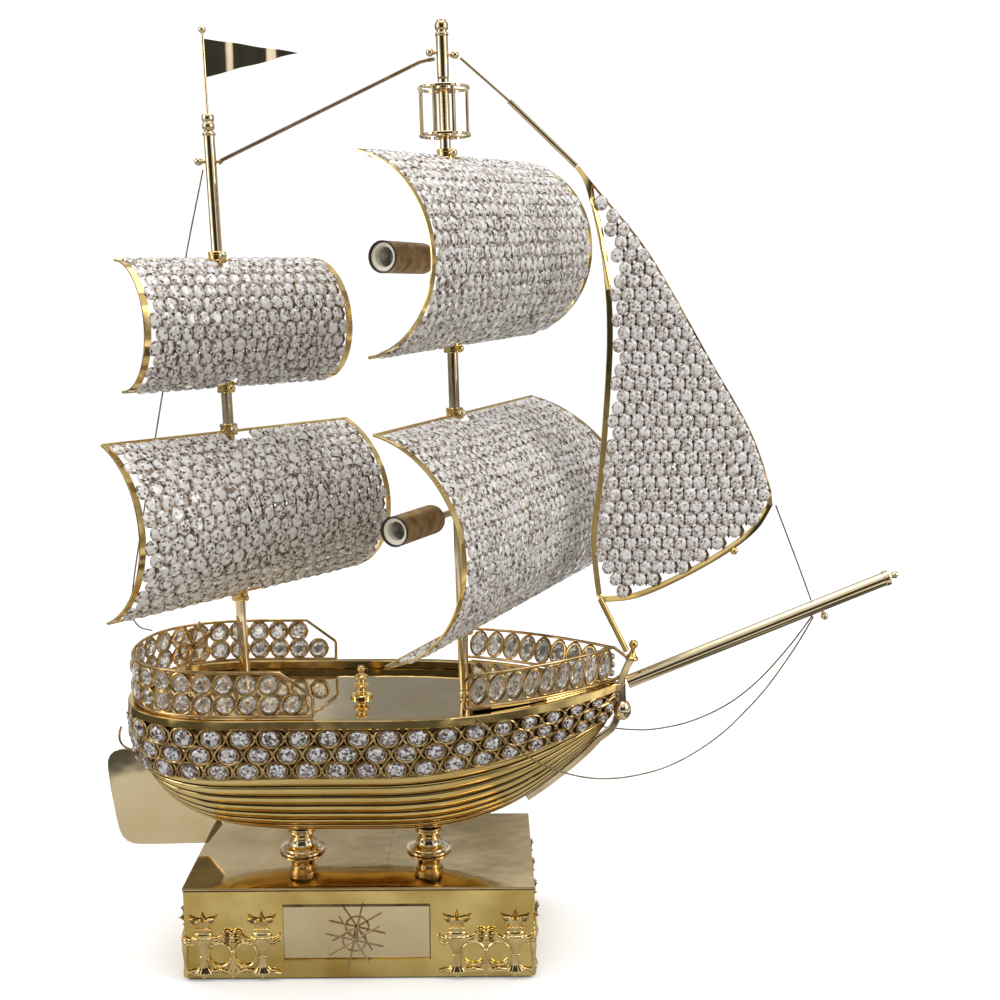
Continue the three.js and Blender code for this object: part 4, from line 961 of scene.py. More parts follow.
def make_fore_rail():
    end = outline_angle(FORE_RAIL["end"])

    def floor(x):
        return max(gunwale(x), DECK["fore"]) + 2

    def ceiling(x):
        part = (x - FORE_RAIL["end"]) / (HULL["bow"] - FORE_RAIL["end"])
        return FORE_RAIL["top"] + FORE_RAIL["bow_rise"] * part

    def side(height, sign, count=40):
        points = []
        for i in range(count + 1):
            x, y = outline(end + (RAIL_BOW_ANGLE - end) * i / count, RAIL_INSET)
            points.append(Vector((x, sign * y, height(x))))
        return points

    rails = Shape()
    for height in (ceiling, floor):
        port, starboard = side(height, 1), side(height, -1)[::-1]
        loop = port + [Vector((HULL["bow"] - 1.2, 0, height(HULL["bow"])))] + starboard
        if height is ceiling:
            foot = Vector((*outline(end, RAIL_INSET), floor(FORE_RAIL["end"])))
            post = Vector((foot.x, foot.y, height(foot.x) - 5))
            loop = [foot, post] + port[1:] + [Vector((HULL["bow"] - 1.2, 0, height(HULL["bow"])))]
            loop += starboard[:-1] + [Vector((post.x, -post.y, post.z)), Vector((foot.x, -foot.y, foot.z))]
        tube(rails, loop, RAIL_RADIUS, 12)

    stones = Shape()
    for sign in (-1, 1):
        def at(angle, v, sign=sign):
            x, y = outline(angle, RAIL_INSET)
            return Vector((x, sign * y, floor(x) * (1 - v) + ceiling(x) * v))

        cells, length = evenly(lambda a: at(a, 0.5), end - 0.02, 0.155, FORE_CELLS)
        pitch = length / FORE_CELLS
        for angle in cells:
            centre, across, up = side_frame(at, angle, 0.5, 0.004, 0.3)
            tall = (at(angle, 1) - at(angle, 0)).length / 2
            short, long = slanted(across, up, 17)
            oval(rails, centre, short * (pitch / 2 - 0.2), long * (tall - 1.9), 1.0, 30, 8)
            oval(rails, centre, short * (pitch / 2 - 1.3), long * (tall - 3.0), 0.75, 26, 6)
            wide, high = short * (pitch / 2 - 1.8), long * (tall - 3.5)
            stone(stones, centre, wide, high, 2.6, 2.6, 10, 3, double=True)
            for way in (-1, 1):
                ball(rails, centre + across * (way * pitch / 2), 1.1, 5)
    x = outline(RAIL_BOW_ANGLE, RAIL_INSET)[0]
    for z in (268.5, 276.6, 284.7):
        wide, high = Vector((0, 3.9, 0)), Vector((0, 0, 3.8))
        stone(stones, Vector((x, 0, z)), wide, high, 3.4, 3.4, 8, 3, double=True)
    piece("fore_rail_wires", rails, "thin_brass", replaces=["fore_rail"])
    stood_for = ["fore_rail_crystals"]
    piece("fore_rail_stones", stones, "rail_crystal", replaces=stood_for, sharp=0)


# ---- bow, stern and deck fittings ----
def make_stem():
    stem = [Vector((x, z)) for x, z in zip(KEEL_X, KEEL_Z) if x > 152]

    def inside(z):
        return 0.6 if z < 205 else 0.6 + 4.8 * min(1, (z - 205) / 12)

    def line(offset):
        points = []
        for i, point in enumerate(stem):
            before, after = stem[max(0, i - 1)], stem[min(len(stem) - 1, i + 1)]
            along = (after - before).normalized()
            reach = offset(point.y)
            points.append((point.x + along.y * reach, point.y - along.x * reach))
        return points

    shape = Shape()
    inner, outer = line(inside), line(lambda z: inside(z) + 6.5)
    head = [((243, 262), (249.8, 262)), ((246.6, 271.5), (253.4, 271.5)), ((251, 281), (258, 281))]
    pairs = list(zip(inner, outer)) + head
    rows = []
    for (ax, az), (bx, bz) in pairs:
        for part, half in ((0.0, 3.4), (0.04, 4.0), (0.7, 4.0), (0.93, 2.6), (1.0, 0.9)):
            rows.append((ax + (bx - ax) * part, -half, az + (bz - az) * part))
        for part, half in ((1.0, 0.9), (0.93, 2.6), (0.7, 4.0), (0.04, 4.0), (0.0, 3.4)):
            rows.append((ax + (bx - ax) * part, half, az + (bz - az) * part))
    shape.add(rows, capped(len(pairs), 10))
    belly = rounded([(0, 0), (4.2, 0.6), (7.6, 4.4), (8.6, 9.6), (7.7, 14.8), (4.6, 18.6), (0, 20.2)], 5)
    lathe(shape, belly, (247.5, 0, 221.9), (247.5, 0, 222.9), 32)
    piece("stem_post", shape, "pale_brass", replaces=["stem_ornament"])

    knee = Shape()
    bow = HULL["bow"]
    rim = gunwale(bow)
    wedge = [(bow - 3, -7), (bow + 5, -4.2), (bow + 10, -1.4), (bow + 10, 1.4), (bow + 5, 4.2), (bow - 3, 7)]
    plate(knee, wedge, 7, 0.4, lambda a, b, c: (a, b, rim - 4 + c))
    fore = max(rim, DECK["fore"]) + 2
    for start, end in (
        ((bow - 1.2, fore), (bow + 9.6, 268)),
        ((bow - 1.2, FORE_RAIL["top"] + FORE_RAIL["bow_rise"]), (bow + 13, 282.4)),
    ):
        rod(knee, (start[0], 0, start[1]), (end[0], 0, end[1]), 1.7, 14)
    tube(knee, [(bow + 1, 0, 218), (bow + 3.4, 0, 236), (bow + 5.4, 0, 256)], 2.6, 12)
    piece("bow_knee", knee, "thin_brass")

    bell = [(0, 0), (6.3, 0)] + rounded([
        (6.6, 1.2), (6.2, 2.4), (4.6, 4), (2.6, 7.6), (2.2, 10.6), (3.4, 12.2), (4.3, 15), (3.5, 17.8),
        (1.6, 19.2), (0, 19.5),
    ], 4)
    finial = Shape()
    lathe(finial, bell, (255.5, 0, 281.6), (257.5, 0, 300), 32)
    piece("bell_finial", finial, "polished_brass", replaces=["bow_finial"])


def make_rudder():
    outer = [(-246, 176), (-245.7, 183), (-243.6, 188.4), (-240, 191.8), (-235.4, 193.8), (-229, 194.4),
             (-214.5, 194.5)]
    x = -211
    while x <= -142:
        outer.append((x, keel(x) - 2.2))
        x += 3.8
    outer += [(-139, 118), (-154, 99), (-185, 98.4), (-217, 98),
              (-225.4, 98.8), (-231.4, 101.4), (-235.6, 106), (-238.2, 112.6), (-240.4, 124), (-244.5, 155)]
    shape = Shape()
    plate(shape, outer, 3, 0.45, lambda a, b, c: (a, c, b))
    piece("rudder_blade", shape, "mirror_brass", replaces=["rudder"])


def make_stern_hooks():
    """Two bent wire hooks over the rudder and a small pin under the keel."""
    shape = Shape()
    for points in (
        [(-229.6, 220), (-231.4, 213), (-231.2, 206), (-228.4, 201), (-222, 197.4), (-212, 195.6)],
        [(-224, 233.2), (-221.4, 235.8), (-216, 237.6), (-209, 238)],
    ):
        tube(shape, through([Vector((x, -8, z)) for x, z in points], 5), 1.1, 10)
    rod(shape, (-163.5, 0, 130), (-162.5, 0, keel(-162.5) + 1.5), 0.8, 10)
    ball(shape, (-163.6, 0, 129.6), 1.6, 8)
    piece("stern_hooks", shape, "thin_brass")


def make_deck_fittings():
    deck = DECK["main"] + GAP
    profile = [(0, 0), (11, 0), (11, 2)] + rounded([
        (10.4, 2.7), (5, 5), (4.2, 8), (7.4, 10.2), (7.9, 11.6), (4.4, 14), (4.2, 17), (6.7, 18.6),
        (6.5, 19.8), (2.2, 23), (3.4, 25.4), (3.8, 27.4), (2.2, 29.8), (0, 30.3),
    ], 4)
    shape = Shape()
    lathe(shape, profile, (-1.7, 0, deck), (-1.7, 0, deck + 1), 40)
    piece("turned_capstan", shape, "polished_brass", replaces=["capstan"])

    x, z, turn = HELM["x"], HELM["z"], math.radians(HELM["turn"])

    def along(distance):
        return Vector((x + distance * math.cos(turn), distance * math.sin(turn), z))

    foot = along(-7)
    height = z + 3 - deck
    post = [(0, 0), (9, 0), (9, 1.5)] + rounded([
        (8.6, 2.1), (3.2, 5), (2.4, 20), (3.0, 28), (3.4, 34), (2.6, 44), (3.2, 50), (3.0, 52), (0, height),
    ], 5)
    stand = Shape()
    lathe(stand, post, (foot.x, foot.y, deck), (foot.x, foot.y, deck + 1), 32)
    rod(stand, along(-6), along(4.4), 1.2, 16)
    ball(stand, along(5.4), 2.4, 12)
    piece("helm_post", stand, "thin_brass", replaces=["helm_stand"])

    wheel = Shape()
    hub = [(1.7, 0), (3.4, 0), (4, 0.6), (4, 4.4), (3.4, 5), (1.7, 5), (1.7, 0)]
    lathe(wheel, hub, along(-2.5), along(2.5), 24)
    side = Vector((-math.sin(turn), math.cos(turn), 0))
    rise = Vector((0, 0, 1))
    middle = Vector((x, 0, z))
    oval(wheel, middle, side * HELM["ring"], rise * HELM["ring"], 1.7, 48, 10)
    for i in range(8):
        angle = math.pi * (i + 0.5) / 4
        arm = side * math.cos(angle) + rise * math.sin(angle)
        start = middle + arm * 3.2
        spoke = [(0, 0), (1.1, 0)] + rounded([
            (1.1, 3), (1.5, 6), (1.0, 9), (1.0, 11), (1.0, 14), (1.4, 17), (1.0, 20), (0, 20.8),
        ], 4)
        lathe(wheel, spoke, start, start + arm, 12)
    piece("spoked_wheel", wheel, "thin_brass", body="helm", replaces=["helm_wheel"])


# ---- masts and rigging ----
def mast_point(mast, z):
    return Vector((mast["x"] + mast["lean"] * (z - mast["z"]), 0, z))


def ball_screw(shape, start, neck, centre, radius, thread=1.5):
    """A thumb screw: a short rod and a ball head with a small collar under it."""
    start, neck, centre = Vector(start), Vector(neck), Vector(centre)
    rod(shape, start, neck, thread, 14)
    ball(shape, centre, radius, 14)
    way = (centre - start).normalized()
    washer = [(0, 0), (2.1, 0), (2.3, 0.3), (2.1, 0.9), (0, 0.9)]
    lathe(shape, washer, centre - way * (radius + 0.5), centre, 16)


def make_masts():
    radius = MAST_RADIUS
    tube_top = MIZZEN["tube"] - MIZZEN["foot"]
    top = tube_top + 13.2
    profile = [(0, 0), (9, 0), (9, 1.6), (8.6, 2.1), (6.2, 3.6), (5.2, 4.4), (radius, 5.2), (radius, 7),
               (radius, tube_top - 7), (radius, tube_top - 5)]
    for turned, steps in (
        (((5.4, -4.6), (5.8, -3.4), (5.4, -2.2), (3.8, -1)), 3),
        (((4.2, 0), (5.3, 1.6), (5.4, 4.6), (4.6, 6.6)), 4),
        (((4.3, 7.2), (5.3, 8), (5.5, 11), (5.0, top - 0.4 - tube_top)), 4),
    ):
        profile += rounded([(wide, tube_top + rise) for wide, rise in turned], steps)
    profile += [(4.6, top), (1.5, top), (1.5, top - 11), (0, top - 11)]
    shape = Shape()
    lathe(shape, profile, mast_point(MIZZEN, MIZZEN["foot"]), mast_point(MIZZEN, MIZZEN["top"]), 36)
    place = mast_point(MIZZEN, 740)
    aft = Vector((-1, 0, 0))
    ball_screw(shape, place + aft * 4, place + aft * 8.5, place + aft * 11, THUMB_RADIUS)
    socket = [(0, 3), (1.5, 3), (1.5, 7), (2.6, 7.4), (2.8, 8), (2.6, 8.6), (1.7, 9), (1.7, 10.5), (0, 10.5)]
    lathe(shape, socket, place, place + Vector((1, 0, 0)), 20)
    piece("mizzen_tube", shape, "pale_brass", replaces=["mizzen_mast"])

    top = MAIN["top"] - MAIN["foot"]
    cap = top - 13.5
    profile = [(0, 0), (6.2, 0), (6.2, 2), (5.6, 3.4), (5.2, 4), (radius, 5), (radius, 7),
               (radius, cap - 38), (radius, cap - 36), (5.3, cap - 35), (5.3, cap - 33), (5.3, cap - 2),
               (5.3, cap - 0.6)]
    profile += rounded([(5.6, cap - 0.3), (6.0, cap + 1), (5.6, cap + 2.4), (4.4, cap + 3)], 3)
    profile += rounded([
        (4.4, cap + 4.4), (5.7, cap + 5.4), (6.0, cap + 8), (5.6, cap + 10.6), (4.6, cap + 11.4),
    ], 4)
    profile += [(4.3, cap + 12), (4.3, top - 0.5), (3.9, top), (0, top)]
    shape = Shape()
    lathe(shape, profile, mast_point(MAIN, MAIN["foot"]), mast_point(MAIN, MAIN["top"]), 36)
    for z, side in ((832.5, -1), (830.5, 1)):
        place = mast_point(MAIN, z)
        way = Vector((side, 0, 0))
        ball_screw(shape, place + way * 4, place + way * 8.5, place + way * 11, THUMB_RADIUS)
    piece("main_tube", shape, "pale_brass", replaces=["main_mast"])


def make_crows_nest():
    low, high, radius = 761.5, 801.5, 23
    shape = Shape()
    inner = radius - 2
    hoop = [(inner, 0), (radius - 0.4, 0), (radius, 0.4), (radius, 2), (radius - 0.4, 2.4), (inner, 2.4),
            (inner, 0)]
    hub = [(5.1, 0), (8.1, 0), (8.5, 0.4), (8.5, 2.6), (8.1, 3), (5.1, 3), (5.1, 0)]
    for z in (low, high):
        lathe(shape, hoop, mast_point(MAIN, z), mast_point(MAIN, z + 1), 64)
        lathe(shape, hub, mast_point(MAIN, z), mast_point(MAIN, z + 1), 32)
    corner = 1.05
    cut = corner * 0.8
    square = [(corner, cut), (cut, corner), (-cut, corner), (-corner, cut),
              (-corner, -cut), (-cut, -corner), (cut, -corner), (corner, -cut)]
    for i in range(8):
        angle = math.pi * (i + 0.5) / 4
        way = Vector((math.cos(angle), math.sin(angle), 0))

        def at(reach, z, way=way):
            return mast_point(MAIN, z) + way * reach

        tube(shape, [at(radius - 1, low + 1), at(radius - 1, high + 1)], 1, section=square)
        if i % 4 == 0:
            rod(shape, at(7, low + 1.2), at(radius - 1, low + 1.2), 1, 12)
            rod(shape, at(7, high + 1.2), at(radius - 1, high + 1.2), 1, 12)
    piece("lookout_basket", shape, "pale_brass", replaces=["crows_nest"])


def make_pennant():
    shape = Shape()
    rod(shape, mast_point(MIZZEN, 769.3), mast_point(MIZZEN, 849), 1.2, 16)
    ball(shape, mast_point(MIZZEN, 851), 3.2, 16)
    x = mast_point(MIZZEN, 827).x
    steps = 48
    rows = []
    for i in range(steps + 1):
        part = i / steps
        wave = 1.9 * math.sin(2 * math.pi * 2.1 * part) * min(1, 3 * part)
        low, high = 811 + 21 * part, 843.5 - 11.5 * part
        for z, y in ((low, -0.4), (high, -0.4), (high, 0.4), (low, 0.4)):
            rows.append((x + 82 * part, wave + y, z))
    shape.add(rows, capped(steps + 1, 4))
    piece("pennant_plate", shape, "mirror_brass", body="pennant", replaces=["pennant"])


def bowsprit_point(distance, rise=0.0):
    angle = math.radians(BOWSPRIT["rise"])
    x = BOWSPRIT["x"] + distance * math.cos(angle) - rise * math.sin(angle)
    return Vector((x, 0, BOWSPRIT["z"] + distance * math.sin(angle) + rise * math.cos(angle)))


def make_bowsprit():
    radius, length = BOWSPRIT["radius"], BOWSPRIT["length"]
    profile = [(0, -6), (radius - 0.4, -6), (radius, -5.6), (radius, -4), (radius, length - 8),
               (radius, length - 6), (radius + 0.8, length - 5.4), (radius + 0.8, length - 1.4)]
    profile += rounded([(radius + 0.5, length - 0.8), (3, length), (2.2, length + 2), (3.5, length + 4.4),
                        (3.4, length + 6), (2.2, length + 8), (0, length + 8.6)], 4)
    shape = Shape()
    lathe(shape, profile, bowsprit_point(0), bowsprit_point(1), 40)
    at = 190.5
    ball_screw(shape, bowsprit_point(at, -4), bowsprit_point(at, -9), bowsprit_point(at, -12), 3.6)
    piece("bow_spar", shape, "mirror_brass", replaces=["bowsprit"])


def make_stays():
    shape = Shape()
    points = [(-117.5, 740.4), (60, 824.5), (66, 826), (73.3, 827)]
    tube(shape, [(x, 0, z) for x, z in points], 1.7, 16)
    piece("masthead_spar", shape, "tan_brass", replaces=["masthead_rod"])
    shape = Shape()
    rod(shape, (95.6, 0, 828), (139, 0, 791.4), 1.2, 14)
    start, end = Vector((138, 0, 792.2)), Vector((198, 0, 736.6))
    length = (end - start).length
    sleeve = [(0, 0), (2.1, 0), (2.4, 0.3), (2.4, length - 0.3), (2.1, length), (0, length)]
    lathe(shape, sleeve, start, end, 24)
    piece("jib_stay", shape, "pale_brass", replaces=["jib_stay_rod"])


def make_cords():
    mirrored = [(x, -y, z) for x, y, z in BOBSTAY]
    for name, route, node, lay in (
        ("stern_stay_wire", STERN_STAY, "stern_stay", "taut"),
        ("jib_sheet_wire", JIB_SHEET, "jib_sheet", "taut"),
        ("bobstay_wire_starboard", BOBSTAY, "bobstay_starboard", "hanging"),
        ("bobstay_wire_port", mirrored, "bobstay_port", "hanging"),
    ):
        path = through([Vector(point) for point in route], 10)
        shape = Shape()
        tube(shape, path, WIRE_RADIUS * MM, 10)
        wire = piece(name, shape, "rigging_wire", replaces=[node], metres=True)


# ---- jib ----
JIB_LUFF = [(196.6, 735.4), (207.5, 716), (222, 655), (227.5, 580), (222, 469), (215.4, 400), (222, 338)]
JIB_FOOT = [(222, 338), (258, 341.5), (300, 359.5), (344.5, 385.5), (372, 409), (386, 434)]
JIB_LEECH = [(386, 434), (363, 497), (322, 566), (265, 660), (217, 717), (200, 738)]


def uniform_curve(points, t):
    """A point and its direction at t, 0 to 1, on a uniform curve through the points."""
    span = (len(points) - 1) * t
    i = min(len(points) - 2, int(span))
    w = span - i
    p = [Vector(points[max(0, min(len(points) - 1, k))]) for k in (i - 1, i, i + 1, i + 2)]
    a, b = (p[2] - p[0]) * 0.5, (p[3] - p[1]) * 0.5
    c = (p[1] - p[2]) * 2 + a + b
    d = (p[2] - p[1]) * 3 - a * 2 - b
    return c * w**3 + d * w**2 + a * w + p[1], (c * 3 * w * w + d * 2 * w + a).normalized()


def jib_edge(points, inset, start, end, count):
    line = []
    for i in range(count + 1):
        point, along = uniform_curve(points, start + (end - start) * i / count)
        line.append((point.x - along.y * inset, point.y + along.x * inset))
    return line


def make_jib():
    outer = jib_edge(JIB_LUFF, 0, 0, 1, 80) + jib_edge(JIB_FOOT, 0, 0.03, 1, 50)
    outer += jib_edge(JIB_LEECH, 0, 0.03, 0.985, 60)
    inner = jib_edge(JIB_LUFF, STRIP["width"] - 0.6, 0.2, 0.975, 70)
    inner += jib_edge(JIB_FOOT, STRIP["width"] - 1, 0.05, 0.955, 46)
    inner += jib_edge(JIB_LEECH, 1.6, 0.04, 0.83, 56)
    frame_shape = Shape()
    outer_points = [Vector(point) for point in outer]
    rows = []
    for place in (Vector(point) for point in inner):
        edge = min(outer_points, key=lambda point: (point - place).length)
        ease = (edge - place).normalized() * 0.4
        twist = 2.0 * min(1, max(0, (place.y - 600) / 60)) + 1.7 * min(1, max(0, (470 - place.y) / 70))
        for point, y in (
            (place, twist - 1.1), (place + ease, twist - 1.5), (edge - ease, -1.5), (edge, -1.1),
            (edge, 1.1), (edge - ease, 1.5), (place + ease, twist + 1.5), (place, twist + 1.1),
        ):
            rows.append((point.x, y, point.y))
    frame_shape.add(rows, grid(len(inner), 8, around=True, loop=True))
    peak = jib_edge(JIB_LUFF, 0, 0, 0.21, 24)
    peak_back = jib_edge(JIB_LEECH, 0, 0.82, 0.985, 24)[::-1]
    rows = []
    for front, back in zip(peak, peak_back):
        for (x, z), y in ((front, -1.4), (back, 0.3), (back, 3.1), (front, 1.4)):
            rows.append((x, y, z))
    frame_shape.add(rows, capped(len(peak), 4))
    rod(frame_shape, (250.6, 0, 290), (224.9, 0, 341), 2.8, 24)
    ball(frame_shape, (350, 0, 387), 3.6, 14)
    piece("jib_strip_frame", frame_shape, "polished_brass", replaces=["jib_frame"])

    region = [Vector(point) for point in inner]

    def inside(x, z, margin):
        hit = False
        for i, a in enumerate(region):
            b = region[i - 1]
            if (a.y > z) != (b.y > z) and x < (b.x - a.x) * (z - a.y) / (b.y - a.y) + a.x:
                hit = not hit
        return hit and min(distance_to(a, region[i - 1], x, z) for i, a in enumerate(region)) > margin

    links, stones = Shape(), Shape()
    pitch, rise = 11.6, 11.5
    for row in range(33):
        z = 716.5 - rise * row
        crossings = [
            (b.x - a.x) * (z - a.y) / (b.y - a.y) + a.x
            for a, b in zip(region, region[1:] + region[:1]) if (a.y > z) != (b.y > z)
        ]
        leech = max(crossings) if z > 434 and crossings else 384.4 + 0.61 * (434 - z)
        for column in range(17):
            x = leech - 4.9 - pitch * column
            if inside(x, z, 3.2):
                centre = Vector((x, 0, z))
                size = random.uniform(0.97, 1.03)
                across, up = Vector((pitch * 0.53 * size, 0, 0)), Vector((0, 0, rise * 0.6 * size))
                stone(stones, centre, across, up, 2.7, 2.7, 10, 6, double=True)
                middle = centre + Vector((pitch / 2, 0, 0))
                if inside(middle.x, middle.z, 2):
                    lozenge(links, middle, Vector((pitch * 0.3, 0, 0)), Vector((0, 0, rise * 0.62)), 0.7)
    piece("jib_stones", stones, "jib_crystal", replaces=["jib_crystals"], sharp=0)
    # The links are near-black: painted shade in the gaps between the crystals.
    piece("jib_links", links, "painted_shade_and_seam_brass", sharp=0)


def distance_to(a, b, x, z):
    """How far the point (x, z) is from the segment between a and b."""
    line = b - a
    part = max(0, min(1, (Vector((x, z)) - a).dot(line) / max(1e-9, line.length_squared)))
    return (a + line * part - Vector((x, z))).length


# ---- square sails ----
def sail_point(sail, across, down, offset=0.0):
    """Across runs from -1 at the near end of the yard to 1, down from 0 to 1."""
    height = sail["top"] - sail["bottom"]
    radius = height * height / (8 * sail["belly"]) + sail["belly"] / 2
    half = math.asin(min(1, height / 2 / radius))
    arc = half * (1 - 2 * down)
    z = (sail["top"] + sail["bottom"]) / 2 + (radius + offset) * math.sin(arc)
    bulge = sail["belly"] - radius + (radius + offset) * math.cos(arc)
    drop = (sail["top"] - z) / height
    length = sail["lengths"][0] * (1 - drop) + sail["lengths"][1] * drop
    along = across * length / 2 + sail["shifts"][0] * (1 - drop) + sail["shifts"][1] * drop
    yaw = math.radians(sail["yaw"])
    x = mast_point(sail["mast"], z).x + along * math.cos(yaw) + bulge * math.sin(yaw)
    y = along * math.sin(yaw) - bulge * math.cos(yaw)
    return Vector((x, y, z + 2 * sail["tilt"] * along / sail["lengths"][0]))


def make_sail(name, sail):
    edge = 1 - 2 * STRIP["width"] / sail["lengths"][0]
    half = STRIP["thickness"] / 2
    brass = Shape()
    for start, end in ((-1, -edge), (edge, 1)):
        rows = []
        steps = 40
        for i in range(steps + 1):
            down = i / steps
            width = end - start
            for part, offset in ((0, -half + 0.25), (0.05, -half), (0.95, -half), (1, -half + 0.25),
                                 (1, half - 0.25), (0.95, half), (0.05, half), (0, half - 0.25)):
                rows.append(sail_point(sail, start + width * part, down, offset))
        brass.add(rows, capped(steps + 1, 8))
    for down in (0, 1):
        rod(brass, sail_point(sail, -0.99, down), sail_point(sail, 0.99, down), 1.4, 14)

    mast = sail["mast"]

    def out(z, reach):
        return mast_point(mast, z) + Vector((math.cos(SCREW_TURN), math.sin(SCREW_TURN), 0)) * reach

    collar = [(5, 0), (7.5, 0), (8, 0.5), (8, 2.4), (7.6, 2.9), (7.6, 7.1), (8, 7.6), (8, 9.5),
              (7.5, 10), (5, 10), (5, 0)]
    for low in (sail["top"] - 3, sail["bottom"] - 7):
        lathe(brass, collar, mast_point(mast, low), mast_point(mast, low + 10), 36)
    low = sail["bottom"] - 3
    ball_screw(brass, out(low, 7), out(low, 10.5), out(low, 12.5), THUMB_RADIUS)
    piece(f"{name}_strips", brass, "polished_brass", body=name, replaces=[f"{name}_frame"])
    head = Shape()
    high = sail["top"] + 3
    ball_screw(head, out(high, 5.2), out(high, 11), out(high, 12.5), THUMB_RADIUS, 1.4)
    piece(
        f"{name}_thumb_screw", head, "pale_brass", body=name, replaces=[f"{name}_clamp_screw"],
    )

    stones, links = Shape(), Shape()
    height = sum((sail_point(sail, 0, (k + 1) / 40) - sail_point(sail, 0, k / 40)).length for k in range(40))
    rows = round(height * 0.965 / sail["pitch"][1])
    inner = edge - 0.012
    for row in range(rows):
        v = 0.018 + 0.964 * (row + 0.5) / rows
        width = (sail_point(sail, inner, v) - sail_point(sail, -inner, v)).length
        count = round(width / sail["pitch"][0])
        pitch = width / count
        tall = height * 0.964 / rows
        shift = 0.25 if row % 2 else -0.25
        for k in range(-1, count + 1):
            s = -inner + 2 * inner * (k + 0.5 + shift) / count
            if abs(s) > inner - 0.22 * pitch / width * 2:
                continue
            centre = sail_point(sail, s, v)
            if clear_of_mast(sail, centre):
                across = (sail_point(sail, s + 0.01, v) - sail_point(sail, s - 0.01, v)).normalized()
                up = sail_point(sail, s, v - 0.01) - sail_point(sail, s, v + 0.01)
                up = (up - across * up.dot(across)).normalized()
                size = random.uniform(0.97, 1.03)
                long, tall_half = across * (pitch * 0.55 * size), up * (tall * 0.63 * size)
                stone(stones, centre, long, tall_half, 2.75, 2.75, 8, 7, double=True)
                lozenge(links, centre + across * pitch / 2, across * (pitch * 0.3), up * (tall * 0.66), 0.7)
    piece(f"{name}_stones", stones, "crystal", body=name, replaces=[f"{name}_crystals"], sharp=0)
    # The links are near-black: painted shade in the gaps between the crystals.
    piece(f"{name}_links", links, "painted_shade_and_seam_brass", body=name, sharp=0)


def lozenge(shape, centre, across, up, depth):
    """A flat diamond-shaped link between four crystals."""
    out = across.cross(up).normalized() * depth
    points = [centre - out, centre + across, centre + up, centre - across, centre - up, centre + out]
    sides = [(1, 2), (2, 3), (3, 4), (4, 1)]
    return shape.add(points, [(0, b, a) for a, b in sides] + [(5, a, b) for a, b in sides])


def clear_of_mast(sail, centre):
    """Whether a crystal is clear of the mast, its collars and their screws."""
    axis = mast_point(sail["mast"], centre.z)
    flat = Vector((centre.x - axis.x, centre.y))
    if flat.length < 11.6:
        return False
    near_collar = centre.z > sail["top"] - 9 or centre.z < sail["bottom"] + 9
    aim = Vector((math.cos(SCREW_TURN), math.sin(SCREW_TURN)))
    if near_collar and flat.length < 14.5:
        return False
    screw = aim * 12.5
    return not (near_collar and (flat - screw).length < 9.5)


# ---- lampholders ----
def make_lampholders():
    turn = math.radians(LAMP["turn"])
    for name, z in LAMP_HEIGHTS.items():
        def at(distance, z=z):
            return mast_point(MAIN, z) + Vector((-math.cos(turn), -math.sin(turn), 0)) * distance

        bracket = Shape()
        ring = [(5, 0), (7.6, 0), (8, 0.4), (8, 9.6), (7.6, 10), (5, 10), (5, 0)]
        lathe(bracket, ring, mast_point(MAIN, z - 5), mast_point(MAIN, z + 5), 32)
        near = LAMP["near"]
        rod(bracket, at(7), at(near - 1), LAMP["arm"], 20)
        boss = [(0, -2), (4.4, -2), (5, -1.4), (5, 2), (9.4, 2.2), (11.4, 3.4), (11.4, 4.6), (0, 4.6)]
        lathe(bracket, boss, at(near), at(near + 1), 40)
        piece(f"lamp_bracket_{name}", bracket, "pale_brass")
        holder = Shape()
        insert = [(0, 5), (12, 5), (12, 68.2), (11.6, 69), (9.4, 69), (8.2, 67.4), (8.2, 43.5), (0, 43.5)]
        lathe(holder, insert, at(near), at(near + 1), 40)
        piece(f"lamp_insert_{name}", holder, "porcelain", replaces=[f"lampholder_{name}"])
        sleeve = Shape()
        wall = [(12.3, 3), (11, 0.6), (11.6, 0.2), (12.6, 1.2), (13.1, 3), (13.2, 5), (13.2, 66.8),
                (12.3, 66.8)]
        wall.append(wall[0])
        lathe(sleeve, wall, at(46.5), at(47.5), 48)
        piece(f"bronze_sleeve_{name}", sleeve, "bronzed_sleeve", replaces=[f"lamp_sleeve_{name}"])
        rim = Shape()
        ring = [(12.1, 0), (13.1, 0), (13.3, 0.3), (13.3, 1.1), (13.0, 1.5), (12.1, 1.3), (12.1, 0)]
        lathe(rim, ring, at(113.4), at(114.4), 48)
        piece(f"black_rim_{name}", rim, "black_plastic")
        socket = Shape()
        thread = [(8.0, 0)] + [(7.7 - 0.35 * math.sin(k * math.pi / 2), 1 + 0.7 * k) for k in range(20)]
        thread += [(8.0, 15), (8.0, 0)]
        lathe(socket, thread, at(near + 46), at(near + 47), 32)
        block_at = at(near + 45.2)
        lathe(socket, [(0, 0), (2.6, 0), (2.4, 1.6), (0, 2.2)], block_at, at(near + 46.2), 20)
        piece(f"socket_shell_{name}", socket, "plated_steel")


# ---- studio ----
def make_camera():
    data = bpy.data.cameras.new("camera")
    data.lens, data.sensor_width = CAMERA["lens"], CAMERA["sensor"]
    data.clip_start, data.clip_end = 0.05, 60
    camera = bpy.data.objects.new("camera", data)
    camera.location = CAMERA["place"]
    camera.rotation_euler = (math.radians(90 - CAMERA["down"]), 0, math.radians(-CAMERA["turn"]))
    bpy.context.scene.collection.objects.link(camera)
    bpy.context.scene.camera = camera


